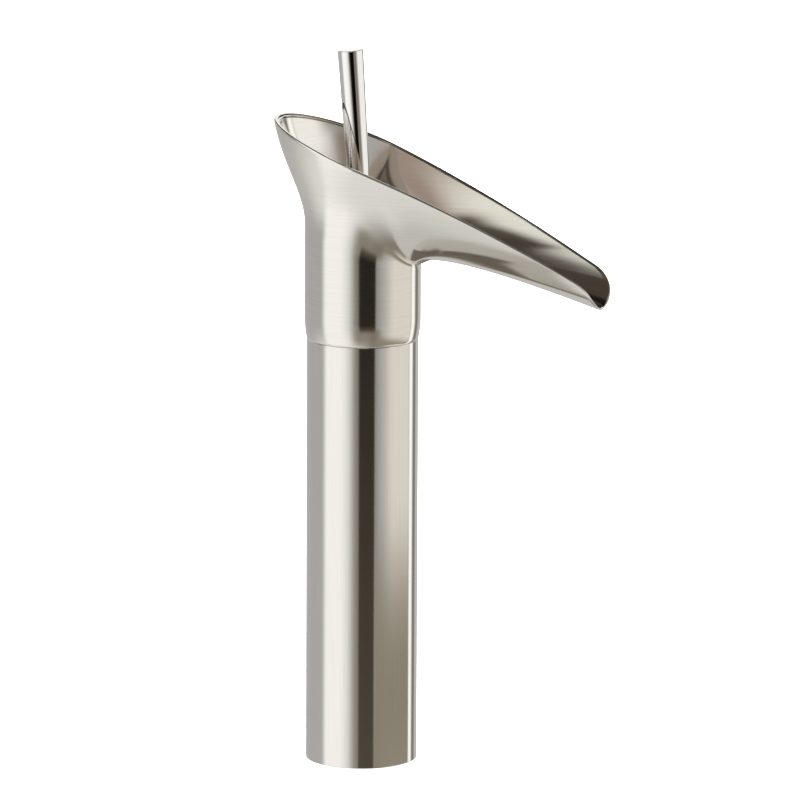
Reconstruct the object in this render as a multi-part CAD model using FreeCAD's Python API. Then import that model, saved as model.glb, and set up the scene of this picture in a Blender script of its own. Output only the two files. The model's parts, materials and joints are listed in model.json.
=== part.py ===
import FreeCAD, Part
import bisect
import math
import os

# Tall waterfall basin faucet with a joystick handle.  Millimetres, +Z up,
# +X along the spout, origin at the centre of the face that stands on the deck.

V = FreeCAD.Vector
UP = V(0, 0, 1)
NEAR = 0.01                    # tolerance for picking edges by their place
OVER = 1.0                     # cutters reach this far beyond the faces they open

# ================================================================ driving sizes
# Column and base block.
COLUMN_RADIUS = 25.0
SLEEVE_WALL = 1.5
SLEEVE_HEIGHT = 192.2
SLEEVE_EDGE_BEVEL = 0.3
BASE_HEIGHT = 18.0
PLUG_GAP = 0.15                # radial gap of the base block and head spigot in the sleeve
SEAL_SECTION = 2.0             # thickness of the rubber seals in the sleeve
GASKET_INSET = 3.2             # deck gasket, in from the outside of the column
GASKET_WIDTH = 3.0
GASKET_HEIGHT = 1.8
BASE_SEAL_DROP = 5.0           # side seal below the block's upper face

# Water supply: two riser tubes from hose inlets in the base to the head.
RISER_RADIUS = 5.0
RISER_WALL = 1.0
RISER_BACK = 3.0               # the risers stand this far behind the axis
RISER_SPREAD = 13.0            # and this far to each side of it
RISER_GAP = 0.1
RISER_SOCKET_DEPTH = 8.0
RISER_SEAL_SECTION = 1.4
INLET_RADIUS = 4.5             # hose thread M10 x 1 at its core
INLET_DEPTH = 8.5
STUD_RADIUS = 2.5              # fixing stud thread M6 at its core
STUD_DEPTH = 12.0
STUD_FORWARD = 10.0
STUD_SPREAD = 10.0

# Tie rod that clamps base, sleeve and head together.
TIE_RADIUS = 3.0
TIE_GAP = 0.25
TIE_ENGAGEMENT = 11.0
TIE_END = 1.2                  # rod beyond its nut
TIE_NUT_HEIGHT = 5.0
TIE_NUT_FLATS = 10.0
TIE_WASHER_RADIUS = 6.0
TIE_WASHER_HEIGHT = 1.4
TIE_POCKET_GAP = 0.5

# Head casting: neck and open flared spout.  Rises are heights above the seam
# between sleeve and head.  Triples are values at the front, side and back.
NECK_SWELL = 1.0               # the neck is this much larger in radius than the column
NECK_ROUND = 10.0              # and draws in to it over this height
NECK_WALL = 3.7
SPIGOT_LENGTH = 9.0
FLARE_START_FRONT = 32.8        # the flare leaves the neck on a slanted plane
FLARE_START_BACK = 51.8
FLARE_LIFT_RISE = (38.8, 66.0, 67.0)
SHOULDER_SPREAD = (14.0, 7.0, 12.7)
SHOULDER_RISE = (41.2, 70.8, 80.4)
SHOULDER_FORWARD = 3.0
WALL = 2.6
LIP_THINNING = 0.55            # share by which the wall thins out towards the tip
RIM_RISE = 84.1                # where the rim's side outline crosses the axis
RIM_SLOPE = 0.406              # its fall per millimetre towards the tip
RIM_BEND = 0.00087             # and its downward bend
MOUTH_CENTRE = 5.0             # where the mouth is widest
MOUTH_SIDE_SPREAD = 10.8       # mouth beyond the neck, to each side
MOUTH_BACK_SPREAD = 15.2       # and to the back
SPOUT_TAPER = 0.102            # narrowing of each side per millimetre
SPOUT_SIDE_BEND = 0.00035
SPOUT_REACH = 110.0
LIP_CORNER = 16.5              # round corner of rim and end face, seen from the side
KEEL_RISE = 39.6               # underside of the spout where it leaves the neck
KEEL_START = 30.0
KEEL_SLOPE = 0.159
KEEL_BEND = 0.00129
SECTION_TOP_POWER = 1.3        # fullness of the spout's U-shaped section
SECTION_SIDE_POWER = 2.0
WALL_LEAN = 0.25
TRIM_ALLOWANCE = 6.0           # the shell is made this much too long, then trimmed
SEWING_GAP = 0.02              # largest gap closed between the neck and the flare
FLOOR_DIP = 1.2                # bowl floor below the spout's own floor

# Valve cartridge, stacked upwards from its seat in the neck.
SEAT_RISE = 10.5
CARTRIDGE_RADIUS = 15.0
CARTRIDGE_WALL = 1.6
CARTRIDGE_GAP = 0.1
VALVE_BASE_HEIGHT = 4.5
DISC_HEIGHT = 3.5
FIXED_DISC_RADIUS = 11.6
MOVING_DISC_RADIUS = 8.2
MIXING_RADIUS = 5.4            # hollow under the moving disc
MIXING_DEPTH = 1.8
CARRIER_RADIUS = 8.0
CARRIER_HEIGHT = 6.0
FLANGE_RADIUS = 12.6
FLANGE_HEIGHT = 3.4
THRUST_HEIGHT = 0.8
THRUST_INSET = 0.2             # thrust washer, in from the flange's edge
CAP_HEIGHT = 3.0
TURRET_RADIUS = 8.0
RUNNING_GAP = 0.08             # radial, between a shaft and its hole
BODY_GAP = 0.35                # between pieces that move past each other
PORT_RADIUS = 2.6
PORT_BACK = 3.0
PORT_SPREAD = 7.4
OUTLET_FORWARD = 7.0
OUTLET_RADIUS = 2.8
OUTLET_CHANNEL_DEPTH = 6.5
OUTLET_CHANNEL_HEIGHT = 4.4
PORT_SEAL_SECTION = 1.2
PORT_SEAL_OFFSET = 0.4         # seals stand this far off the rims of their ports
PEG_RADIUS = 1.2
PEG_LENGTH = 2.4
PEG_FORWARD = 4.5
PEG_SPREAD = 9.6
TURRET_SEAL_SECTION = 1.1

# Retaining nut and trim dome on the bowl floor.
NUT_STEP = 2.0                 # nut thread beyond the cartridge, in radius
NUT_POCKET_DEPTH = 6.0
NUT_COLLAR = 1.5
NUT_HEX_FLATS = 24.0
NUT_HEX_HEIGHT = 2.2
DOME_SKIRT = 1.6
DOME_HEIGHT = 9.4
DOME_WALL = 1.1
DOME_OPENING = 8.0
OUTLET_SLOT_GAP = 0.3
OUTLET_SLOT_HALF_ANGLE = 52.0
SLOT_OVERLAP = 2.4             # the channel below ends this far into the slot

# Joystick: stem, hinge pin and tapered handle.
PIVOT_ABOVE_FLOOR = 1.8
TURRET_ABOVE_PIVOT = 4.0
LEAN = -4.0                    # degrees, handle at rest leans back
TILT_RANGE = 20.0              # degrees of forward travel
STEM_RADIUS = 3.0
STEM_NECK_RADIUS = 1.8
STEM_TAPER_HEIGHT = 4.0
STEM_TAPER_DROP = 8.0          # its wide end below the pivot
BALL_RADIUS = 2.6
BALL_FLOOR = 1.1               # ball above the moving disc
PIN_RADIUS = 1.5
PIN_RECESS = 0.2
HANDLE_START = 12.0            # foot of the handle above the pivot
HANDLE_LENGTH = 75.0
HANDLE_FOOT_RADIUS = 4.7
HANDLE_TOP_RADIUS = 5.8
HANDLE_TOP_BEVEL = 0.4
HANDLE_BORE_DEPTH = 14.0
STEM_END_GAP = 0.5
GRUB_RADIUS = 1.5
GRUB_LENGTH = 3.0
GRUB_ABOVE_FOOT = 6.0

# ================================================================ derived sizes
SEAM = SLEEVE_HEIGHT
SLEEVE_BORE = COLUMN_RADIUS - SLEEVE_WALL
PLUG_RADIUS = SLEEVE_BORE - PLUG_GAP
SEAL_GROOVE_RADIUS = SLEEVE_BORE - SEAL_SECTION
NECK_RADIUS = COLUMN_RADIUS + NECK_SWELL
MOUTH_SIDE = NECK_RADIUS + MOUTH_SIDE_SPREAD
MOUTH_BACK = NECK_RADIUS + MOUTH_BACK_SPREAD
SOCKET_RADIUS = RISER_RADIUS + RISER_GAP
SPIGOT_FOOT = SEAM - SPIGOT_LENGTH

FLOOR = SEAM + KEEL_RISE + WALL - FLOOR_DIP
SEAT = SEAM + SEAT_RISE
FIXED_DISC_FOOT = SEAT + VALVE_BASE_HEIGHT
MOVING_DISC_FOOT = FIXED_DISC_FOOT + DISC_HEIGHT
CARRIER_FOOT = MOVING_DISC_FOOT + DISC_HEIGHT
FLANGE_FOOT = CARRIER_FOOT + CARRIER_HEIGHT + BODY_GAP
THRUST_FOOT = FLANGE_FOOT + FLANGE_HEIGHT + RUNNING_GAP
CAP_FOOT = THRUST_FOOT + THRUST_HEIGHT
HOUSING_TOP = CAP_FOOT + CAP_HEIGHT
NUT_RADIUS = CARTRIDGE_RADIUS + NUT_STEP
DOME_RADIUS = NUT_RADIUS + DOME_SKIRT
PIVOT = FLOOR + PIVOT_ABOVE_FLOOR
TURRET_TOP = PIVOT + TURRET_ABOVE_PIVOT
BALL_CENTRE = CARRIER_FOOT + BALL_FLOOR + BALL_RADIUS
LOWER_ARM = PIVOT - BALL_CENTRE
BALL_REST_X = -LOWER_ARM * math.sin(math.radians(LEAN))

RISERS = [V(-RISER_BACK, side * RISER_SPREAD, 0) for side in (1, -1)]
STUDS = [V(STUD_FORWARD, side * STUD_SPREAD, 0) for side in (1, -1)]
INLET_PORTS = [V(-PORT_BACK, side * PORT_SPREAD, 0) for side in (1, -1)]
OUTLET_PORT = V(OUTLET_FORWARD, 0, 0)
PEGS = [V(PEG_FORWARD, side * PEG_SPREAD, 0) for side in (1, -1)]


# ================================================================ small helpers
def cylinder(radius, foot, top, place=V(0, 0, 0)):
    """Upright cylinder between two heights."""
    return Part.makeCylinder(radius, top - foot, V(place.x, place.y, foot), UP)


def tube(outer, inner, foot, top, place=V(0, 0, 0)):
    return cylinder(outer, foot, top, place).cut(cylinder(inner, foot, top, place))


def rubber_ring(section, inner, height, place=V(0, 0, 0)):
    """Square-section ring that hugs a shaft of radius `inner` at a centre height."""
    return tube(inner + section, inner, height - section / 2, height + section / 2, place)


def hexagon(flats, foot, top):
    """Upright hexagonal prism, given across its flats."""
    corner = flats / math.sqrt(3)
    points = []
    for i in range(7):
        turn = math.radians(60 * i)
        points.append(V(corner * math.cos(turn), corner * math.sin(turn), foot))
    return Part.Face(Part.makePolygon(points)).extrude(V(0, 0, top - foot))


def turned(profile):
    """Solid of revolution about Z from a closed list of edges in the XZ plane."""
    return Part.Face(Part.Wire(profile)).revolve(V(0, 0, 0), UP, 360)


def lines(points):
    """Straight edges through (radius, height) points."""
    spots = [V(r, 0, z) for r, z in points]
    return [Part.makeLine(a, b) for a, b in zip(spots, spots[1:])]


def leaning(shape):
    """Turn an upright joystick piece about the pivot to its lean at rest."""
    shape.rotate(V(0, 0, PIVOT), V(0, 1, 0), LEAN)
    return shape


# ================================================================ column and base
def column_sleeve():
    sleeve = tube(COLUMN_RADIUS, SLEEVE_BORE, 0, SLEEVE_HEIGHT)
    outer = [e for e in sleeve.Edges if e.BoundBox.ZLength < NEAR and e.BoundBox.XMax > SLEEVE_BORE + NEAR]
    return sleeve.makeChamfer(SLEEVE_EDGE_BEVEL, outer)


def seal_groove(height):
    """Ring-shaped cutter for a seal that touches the sleeve's bore."""
    half = SEAL_SECTION / 2
    return tube(COLUMN_RADIUS, SEAL_GROOVE_RADIUS, height - half, height + half)


GASKET_OUTER = COLUMN_RADIUS - GASKET_INSET
GASKET_INNER = GASKET_OUTER - GASKET_WIDTH
BASE_SEAL_HEIGHT = BASE_HEIGHT - BASE_SEAL_DROP
BASE_SOCKET_FOOT = BASE_HEIGHT - RISER_SOCKET_DEPTH
BASE_RING_HEIGHT = BASE_SOCKET_FOOT + RISER_SOCKET_DEPTH / 2
TIE_POCKET_TOP = TIE_END + TIE_NUT_HEIGHT + TIE_WASHER_HEIGHT + TIE_POCKET_GAP


def socket_cutters(foot, top, ring_height):
    """Riser sockets with a groove each for its rubber ring."""
    cutters = []
    half = RISER_SEAL_SECTION / 2
    for place in RISERS:
        cutters.append(cylinder(SOCKET_RADIUS, foot, top, place))
        groove = RISER_RADIUS + RISER_SEAL_SECTION
        cutters.append(cylinder(groove, ring_height - half, ring_height + half, place))
    return cutters


def base_block():
    """Brass foot: hose inlets and stud threads below, riser sockets above."""
    block = cylinder(PLUG_RADIUS, 0, BASE_HEIGHT)
    cutters = [tube(GASKET_OUTER, GASKET_INNER, 0, GASKET_HEIGHT), seal_groove(BASE_SEAL_HEIGHT)]
    cutters += socket_cutters(BASE_SOCKET_FOOT, BASE_HEIGHT, BASE_RING_HEIGHT)
    cutters += [cylinder(INLET_RADIUS, 0, INLET_DEPTH, place) for place in RISERS]
    cutters += [cylinder(RISER_RADIUS - RISER_WALL, 0, BASE_HEIGHT, place) for place in RISERS]
    cutters += [cylinder(STUD_RADIUS, 0, STUD_DEPTH, place) for place in STUDS]
    cutters.append(cylinder(TIE_RADIUS + TIE_GAP, 0, BASE_HEIGHT))
    cutters.append(cylinder(TIE_WASHER_RADIUS + TIE_POCKET_GAP, 0, TIE_POCKET_TOP))
    return block.cut(cutters)


def base_gasket():
    return tube(GASKET_OUTER, GASKET_INNER, 0, GASKET_HEIGHT)


def base_side_seal():
    return rubber_ring(SEAL_SECTION, SEAL_GROOVE_RADIUS, BASE_SEAL_HEIGHT)


def riser_tube(place):
    foot = BASE_SOCKET_FOOT + RISER_GAP
    top = SPIGOT_FOOT + RISER_SOCKET_DEPTH - RISER_GAP
    return tube(RISER_RADIUS, RISER_RADIUS - RISER_WALL, foot, top, place)


HEAD_RING_HEIGHT = SPIGOT_FOOT + RISER_SOCKET_DEPTH / 2


def riser_seals():
    """Four rubber rings, one at each end of both risers."""
    rings = []
    for place in RISERS:
        for height in (BASE_RING_HEIGHT, HEAD_RING_HEIGHT):
            rings.append(rubber_ring(RISER_SEAL_SECTION, RISER_RADIUS, height, place))
    return Part.makeCompound(rings)


TIE_WASHER_FOOT = TIE_POCKET_TOP - TIE_WASHER_HEIGHT
TIE_NUT_FOOT = TIE_WASHER_FOOT - TIE_NUT_HEIGHT


def tie_rod():
    return cylinder(TIE_RADIUS, TIE_NUT_FOOT - TIE_END, SPIGOT_FOOT + TIE_ENGAGEMENT)


def tie_rod_washer():
    return tube(TIE_WASHER_RADIUS, TIE_RADIUS + TIE_GAP, TIE_WASHER_FOOT, TIE_POCKET_TOP)


def tie_rod_nut():
    nut = hexagon(TIE_NUT_FLATS, TIE_NUT_FOOT, TIE_WASHER_FOOT)
    return nut.cut(cylinder(TIE_RADIUS, TIE_NUT_FOOT, TIE_WASHER_FOOT))


# ================================================================ head casting
# The flared shell is a family of cubic curves, one for each direction around
# the neck.  A curve leaves the neck straight up, passes its shoulder and ends
# beyond the rim, on the brim.  The four control points of all the curves form
# four closed rails, and the rails make the surface.  The curves start on a
# slanted plane, so that the neck below them is a plain cylinder.

def blend(turn, front, side, back):
    """Value between front, side and back by the square of the cosine."""
    c = math.cos(turn)
    end = front if c > 0 else back
    return side + (end - side) * c * c


def flare_start(x, radius):
    """Height where the flare begins on a neck of this radius, on its slanted plane."""
    middle = (FLARE_START_FRONT + FLARE_START_BACK) / 2
    return SEAM + middle + (FLARE_START_FRONT - FLARE_START_BACK) / 2 * x / radius


def rim_height(x):
    return SEAM + RIM_RISE - RIM_SLOPE * x - RIM_BEND * x * x


def rim_angle(x):
    return math.atan(-RIM_SLOPE - 2 * RIM_BEND * x)


def keel_height(x):
    along = x - KEEL_START
    return SEAM + KEEL_RISE - KEEL_SLOPE * along - KEEL_BEND * along * along


def side_width(x):
    """Half width of the spout at its rim."""
    along = x - MOUTH_CENTRE
    return MOUTH_SIDE - SPOUT_TAPER * along - SPOUT_SIDE_BEND * along * along


def section_width(x, z):
    """Half width of the spout's U-shaped section at a height; above the rim it leans out."""
    top = rim_height(x)
    depth = (top - z) / (top - keel_height(x))
    if depth < 0:
        return side_width(x) * (1 - WALL_LEAN * depth)
    fullness = 1 - min(depth, 1) ** SECTION_TOP_POWER
    return side_width(x) * fullness ** (1 / SECTION_SIDE_POWER)


def corner_start(reach, radius):
    """Station on the rim's outline where a corner of this radius begins."""
    x = reach - radius
    for _ in range(8):
        x = reach - radius - radius * math.sin(rim_angle(x))
    return x


def brim_path():
    """Points along the brim from the mouth's widest place to the middle of the tip."""
    reach = SPOUT_REACH + TRIM_ALLOWANCE
    radius = LIP_CORNER + TRIM_ALLOWANCE
    start = corner_start(reach, radius)
    slope = rim_angle(start)
    top = rim_height(start) + TRIM_ALLOWANCE
    centre_x = start + radius * math.sin(slope)
    centre_z = top - radius * math.cos(slope)
    path = []
    for i in range(121):
        x = MOUTH_CENTRE + (start - MOUTH_CENTRE) * i / 120
        path.append((x, rim_height(x) + TRIM_ALLOWANCE))
    for i in range(1, 41):
        turn = slope + (-math.pi / 2 - slope) * i / 40
        path.append((centre_x - radius * math.sin(turn), centre_z + radius * math.cos(turn)))
    for i in range(1, 81):
        path.append((reach, centre_z + (keel_height(reach) - centre_z) * i / 80))
    return [V(x, section_width(x, z), z) for x, z in path]


BRIM = brim_path()
BRIM_LENGTH = [0.0]
for near, far in zip(BRIM, BRIM[1:]):
    BRIM_LENGTH.append(BRIM_LENGTH[-1] + near.distanceToPoint(far))


def brim_at(length):
    i = min(bisect.bisect_right(BRIM_LENGTH, length), len(BRIM) - 1) - 1
    share = (length - BRIM_LENGTH[i]) / (BRIM_LENGTH[i + 1] - BRIM_LENGTH[i])
    return BRIM[i] + (BRIM[i + 1] - BRIM[i]) * share


def brim(turn):
    """End of the shell's curve in one direction, 0 at the tip and pi at the back."""
    c, s = math.cos(turn), math.sin(turn)
    widest = BRIM[0].y
    if c <= 0:
        radius = widest + (MOUTH_BACK - widest) * c * c
        x = radius * c + MOUTH_CENTRE * s * s
        return V(x, radius * s, rim_height(x) + TRIM_ALLOWANCE)
    share = 1 - turn / (math.pi / 2)
    first = widest * math.pi / 2 / BRIM_LENGTH[-1]
    third = first - 1
    second = 1 - first - third
    return brim_at(BRIM_LENGTH[-1] * (first * share + second * share ** 2 + third * share ** 3))


def shell_point(turn, t):
    """Point of the outer shell: direction around the neck, and 0..1 from neck to brim."""
    c, s = math.cos(turn), math.sin(turn)
    foot = V(NECK_RADIUS * c, NECK_RADIUS * s, flare_start(c, 1))
    lift = V(foot.x, foot.y, SEAM + blend(turn, *FLARE_LIFT_RISE))
    spread = SHOULDER_SPREAD[0] if c > 0 else SHOULDER_SPREAD[2]
    shoulder_x = (NECK_RADIUS + spread) * c + SHOULDER_FORWARD * s * s
    shoulder_y = (NECK_RADIUS + SHOULDER_SPREAD[1]) * s
    shoulder = V(shoulder_x, shoulder_y, SEAM + blend(turn, *SHOULDER_RISE))
    r = 1 - t
    return foot * r ** 3 + lift * (3 * r * r * t) + shoulder * (3 * r * t * t) + brim(turn) * t ** 3


def inset_point(turn, t, inset):
    """Shell point moved square to the surface into the wall."""
    step = 0.001
    along = shell_point(turn, min(t + step, 1)) - shell_point(turn, max(t - step, 0))
    if step < turn < math.pi - step:
        across = shell_point(turn + step, t) - shell_point(turn - step, t)
    else:
        across = V(0, math.cos(turn), 0)
    outward = across.cross(along)
    outward.normalize()
    thinned = 1 - LIP_THINNING * max(math.cos(turn), 0) ** 2 * t ** 3
    return shell_point(turn, t) - outward * (inset * thinned)


def curve_controls(turn, inset):
    """Four control points of the cubic that passes the shell at 0, 1/3, 2/3 and 1."""
    start, first, second, end = [inset_point(turn, t, inset) for t in (0, 1 / 3, 2 / 3, 1)]
    a = first * 27 - start * 8 - end
    b = second * 27 - start - end * 8
    return start, (a * 2 - b) * (1 / 18), (b * 2 - a) * (1 / 18), end


def turns_around():
    """Directions around half of the neck, closer together towards the tip."""
    turns = []
    for begin, finish, steps in ((0, 45, 9), (45, 90, 5), (90, 180, 6)):
        turns += [math.radians(begin + (finish - begin) * i / steps) for i in range(steps)]
    return turns + [math.pi]


TURNS = turns_around()


def closed_rail(half):
    """Closed smooth curve through points of one half and their mirror images."""
    points = half + [V(p.x, -p.y, p.z) for p in half[-2:0:-1]]
    knots = TURNS + [2 * math.pi - turn for turn in TURNS[-2::-1]]
    rail = Part.BSplineCurve()
    rail.interpolate(Points=points, PeriodicFlag=True, Parameters=knots)
    return rail


def below_flare(stub, radius):
    """Keep what lies of an upright turned stub below the flare's start plane."""
    reach = 2 * radius
    front, back = [V(x, 0, flare_start(x, radius)) for x in (reach, -reach)]
    corners = [V(-reach, 0, 0), V(reach, 0, 0), front, back, V(-reach, 0, 0)]
    block = Part.Face(Part.makePolygon(corners)).extrude(V(0, 2 * reach, 0))
    block.translate(V(0, -reach, 0))
    return stub.common(block)


def flared_body(inset, stub):
    """Closed solid: a neck stub, the shell's surface on it and a flat top above the brim."""
    radius = NECK_RADIUS - inset
    controls = [curve_controls(turn, inset) for turn in TURNS]
    rails = [closed_rail([c[i] for c in controls]) for i in range(4)]
    flare = Part.BSplineSurface()
    flare.buildFromPolesMultsKnots(
        [rail.getPoles() for rail in rails], [4, 4], rails[0].getMultiplicities(),
        [0, 1], rails[0].getKnots(), False, True, 3, rails[0].Degree)
    height = rim_height(-MOUTH_BACK) + 2 * TRIM_ALLOWANCE
    top = closed_rail([V(c[3].x, c[3].y, height) for c in controls])
    skirt = Part.makeRuledSurface(rails[3].toShape(), top.toShape())
    lid = Part.Face(Part.Wire([top.toShape()]))
    neck = below_flare(stub, radius)
    neck_shell = Part.makeShell([f for f in neck.Faces if f.CenterOfMass.z < flare_start(0, radius) - OVER])
    flare_shell = Part.makeShell([flare.toShape(), skirt, lid])
    flare_shell.sewShape()
    joined = neck_shell.generalFuse([flare_shell], SEWING_GAP)[0]
    shell = Part.makeShell(joined.Faces)
    shell.sewShape()
    return Part.Solid(shell.Shells[0])


def trim_outline():
    """Block that keeps what lies below the rim and behind the end face."""
    back = -MOUTH_BACK - 2 * TRIM_ALLOWANCE
    low = SPIGOT_FOOT - OVER
    start = corner_start(SPOUT_REACH, LIP_CORNER)
    slope = rim_angle(start)
    middle = (back + start) / 2
    rim = Part.BezierCurve()
    crown = V(middle, 0, rim_height(back) + math.tan(rim_angle(back)) * (middle - back))
    rim_end = V(start, 0, rim_height(start))
    rim.setPoles([V(back, 0, rim_height(back)), crown, rim_end])
    centre = rim_end + V(math.sin(slope), 0, -math.cos(slope)) * LIP_CORNER
    half = (slope - math.pi / 2) / 2
    halfway = centre + V(-math.sin(half), 0, math.cos(half)) * LIP_CORNER
    lip = V(SPOUT_REACH, 0, centre.z)
    corner = Part.Arc(rim_end, halfway, lip)
    sides = [lip, V(SPOUT_REACH, 0, low), V(back, 0, low), V(back, 0, rim_height(back))]
    edges = [rim.toShape(), corner.toShape()]
    edges += [Part.makeLine(a, b) for a, b in zip(sides, sides[1:])]
    width = 4 * MOUTH_BACK
    block = Part.Face(Part.Wire(edges)).extrude(V(0, width, 0))
    block.translate(V(0, -width / 2, 0))
    return block


def neck_stub():
    """Turned neck: spigot in the sleeve, draw-in above the seam, plain cylinder above."""
    rounded = SEAM + NECK_ROUND
    high = flare_start(-2 * NECK_RADIUS, NECK_RADIUS)
    # The arc ends upright, where the cylinder begins.
    radius = (NECK_SWELL ** 2 + NECK_ROUND ** 2) / (2 * NECK_SWELL)
    half = math.asin(NECK_ROUND / radius) / 2
    middle = V(NECK_RADIUS - radius * (1 - math.cos(half)), 0, rounded - radius * math.sin(half))
    arc = Part.Arc(V(COLUMN_RADIUS, 0, SEAM), middle, V(NECK_RADIUS, 0, rounded))
    edges = [arc.toShape()]
    edges += lines([(NECK_RADIUS, rounded), (NECK_RADIUS, high), (0, high), (0, SPIGOT_FOOT),
                    (PLUG_RADIUS, SPIGOT_FOOT), (PLUG_RADIUS, SEAM), (COLUMN_RADIUS, SEAM)])
    return turned(edges)


SLOT_INNER = DOME_RADIUS + OUTLET_SLOT_GAP
SLOT_OUTER = NECK_RADIUS - NECK_WALL
CHANNEL_FOOT = SEAT - OUTLET_CHANNEL_DEPTH


def outlet_slot():
    """Curved slot in the bowl floor, in front of the nut, that the water rises through."""
    angle = 2 * OUTLET_SLOT_HALF_ANGLE
    height = FLOOR + OVER - CHANNEL_FOOT
    outer = Part.makeCylinder(SLOT_OUTER, height, V(0, 0, CHANNEL_FOOT), UP, angle)
    inner = Part.makeCylinder(SLOT_INNER, height, V(0, 0, CHANNEL_FOOT), UP, angle)
    slot = outer.cut(inner)
    slot.rotate(V(0, 0, 0), UP, -OUTLET_SLOT_HALF_ANGLE)
    return slot


def head_passages():
    """Cutters for the cartridge seat, water ways, sockets and tie rod thread."""
    cutters = socket_cutters(SPIGOT_FOOT - OVER, SPIGOT_FOOT + RISER_SOCKET_DEPTH, HEAD_RING_HEIGHT)
    cutters.append(cylinder(CARTRIDGE_RADIUS + CARTRIDGE_GAP, SEAT, FLOOR + OVER))
    cutters.append(cylinder(NUT_RADIUS, FLOOR - NUT_POCKET_DEPTH, FLOOR + OVER))
    port_foot = SPIGOT_FOOT + RISER_SOCKET_DEPTH - OVER
    cutters += [cylinder(PORT_RADIUS, port_foot, SEAT + OVER, place) for place in INLET_PORTS]
    cutters += [cylinder(PEG_RADIUS + RUNNING_GAP, SEAT - PEG_LENGTH - RUNNING_GAP, SEAT, p) for p in PEGS]
    cutters.append(cylinder(OUTLET_RADIUS, CHANNEL_FOOT, SEAT + OVER, OUTLET_PORT))
    channel = Part.makeBox(SLOT_INNER + SLOT_OVERLAP - OUTLET_FORWARD, 2 * OUTLET_RADIUS,
                           OUTLET_CHANNEL_HEIGHT, V(OUTLET_FORWARD, -OUTLET_RADIUS, CHANNEL_FOOT))
    cutters.append(channel)
    cutters.append(outlet_slot())
    cutters.append(cylinder(TIE_RADIUS, SPIGOT_FOOT - OVER, SPIGOT_FOOT + TIE_ENGAGEMENT + TIE_GAP))
    cutters.append(seal_groove(HEAD_SEAL_HEIGHT))
    return cutters


HEAD_SEAL_HEIGHT = SPIGOT_FOOT + SPIGOT_LENGTH / 2


def head_casting():
    outside = flared_body(0, neck_stub()).common(trim_outline())
    well = NECK_RADIUS - WALL
    bowl = flared_body(WALL, cylinder(well, SEAT, flare_start(-2 * well, well)))
    bowl = bowl.cut(cylinder(KEEL_START + WALL, SEAT - OVER, FLOOR))
    return outside.cut(bowl).cut(head_passages())


def head_spigot_seal():
    return rubber_ring(SEAL_SECTION, SEAL_GROOVE_RADIUS, HEAD_SEAL_HEIGHT)


# ================================================================ valve cartridge
HOUSING_BORE = CARTRIDGE_RADIUS - CARTRIDGE_WALL


def cartridge_housing():
    """Plastic cup, open below, whose cap guides the turret."""
    housing = cylinder(CARTRIDGE_RADIUS, SEAT, HOUSING_TOP)
    return housing.cut([
        cylinder(HOUSING_BORE, SEAT, CAP_FOOT),
        cylinder(TURRET_RADIUS + RUNNING_GAP, CAP_FOOT, HOUSING_TOP),
        turret_seal_groove()])


TURRET_SEAL_HEIGHT = CAP_FOOT + CAP_HEIGHT / 2


def turret_seal_groove():
    half = TURRET_SEAL_SECTION / 2
    outer = TURRET_RADIUS + RUNNING_GAP + TURRET_SEAL_SECTION
    return cylinder(outer, TURRET_SEAL_HEIGHT - half, TURRET_SEAL_HEIGHT + half)


def turret_seal():
    """Ring in the cap that the turret turns in, with a running gap."""
    return rubber_ring(TURRET_SEAL_SECTION, TURRET_RADIUS + RUNNING_GAP, TURRET_SEAL_HEIGHT)


def port_places():
    return [(place, PORT_RADIUS) for place in INLET_PORTS] + [(OUTLET_PORT, OUTLET_RADIUS)]


def cartridge_base():
    """Plastic foot with two inlets, one outlet and two locating pegs."""
    base = cylinder(HOUSING_BORE - CARTRIDGE_GAP, SEAT, FIXED_DISC_FOOT)
    pegs = [cylinder(PEG_RADIUS, SEAT - PEG_LENGTH, SEAT + OVER, place) for place in PEGS]
    base = base.fuse(pegs)
    cutters = []
    for place, radius in port_places():
        cutters.append(cylinder(radius, SEAT, FIXED_DISC_FOOT, place))
        groove = radius + PORT_SEAL_SECTION + PORT_SEAL_OFFSET
        cutters.append(cylinder(groove, SEAT, SEAT + PORT_SEAL_SECTION, place))
    return base.cut(cutters)


def cartridge_port_seals():
    """Three rubber rings between the cartridge's foot and its seat."""
    rings = []
    for place, radius in port_places():
        inner = radius + PORT_SEAL_OFFSET
        rings.append(rubber_ring(PORT_SEAL_SECTION, inner, SEAT + PORT_SEAL_SECTION / 2, place))
    return Part.makeCompound(rings)


def fixed_ceramic_disc():
    disc = cylinder(FIXED_DISC_RADIUS, FIXED_DISC_FOOT, MOVING_DISC_FOOT)
    return disc.cut([cylinder(r, FIXED_DISC_FOOT, MOVING_DISC_FOOT, place) for place, r in port_places()])


def at_ball(shape):
    shape.translate(V(BALL_REST_X, 0, 0))
    return shape


def moving_ceramic_disc():
    """Disc with the mixing hollow in its lower face."""
    foot = MOVING_DISC_FOOT + RUNNING_GAP
    disc = cylinder(MOVING_DISC_RADIUS, foot, CARRIER_FOOT)
    return at_ball(disc.cut(cylinder(MIXING_RADIUS, foot, foot + MIXING_DEPTH)))


def disc_carrier():
    """Plastic cap on the moving disc, with the socket for the stem's ball."""
    top = CARRIER_FOOT + CARRIER_HEIGHT
    carrier = cylinder(CARRIER_RADIUS, CARRIER_FOOT, top)
    socket_foot = BALL_CENTRE - BALL_RADIUS - BODY_GAP
    return at_ball(carrier.cut(cylinder(BALL_RADIUS + RUNNING_GAP, socket_foot, top)))


# ================================================================ turret and joystick
def stem_sweep(height, radius):
    """Furthest reach along X of a stem of this radius at a height, over the whole tilt."""
    reach = 0.0
    for angle in (LEAN, LEAN + TILT_RANGE):
        tilt = math.radians(angle)
        reach = max(reach, abs((height - PIVOT) * math.tan(tilt)) + radius / math.cos(tilt))
    return reach


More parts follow.
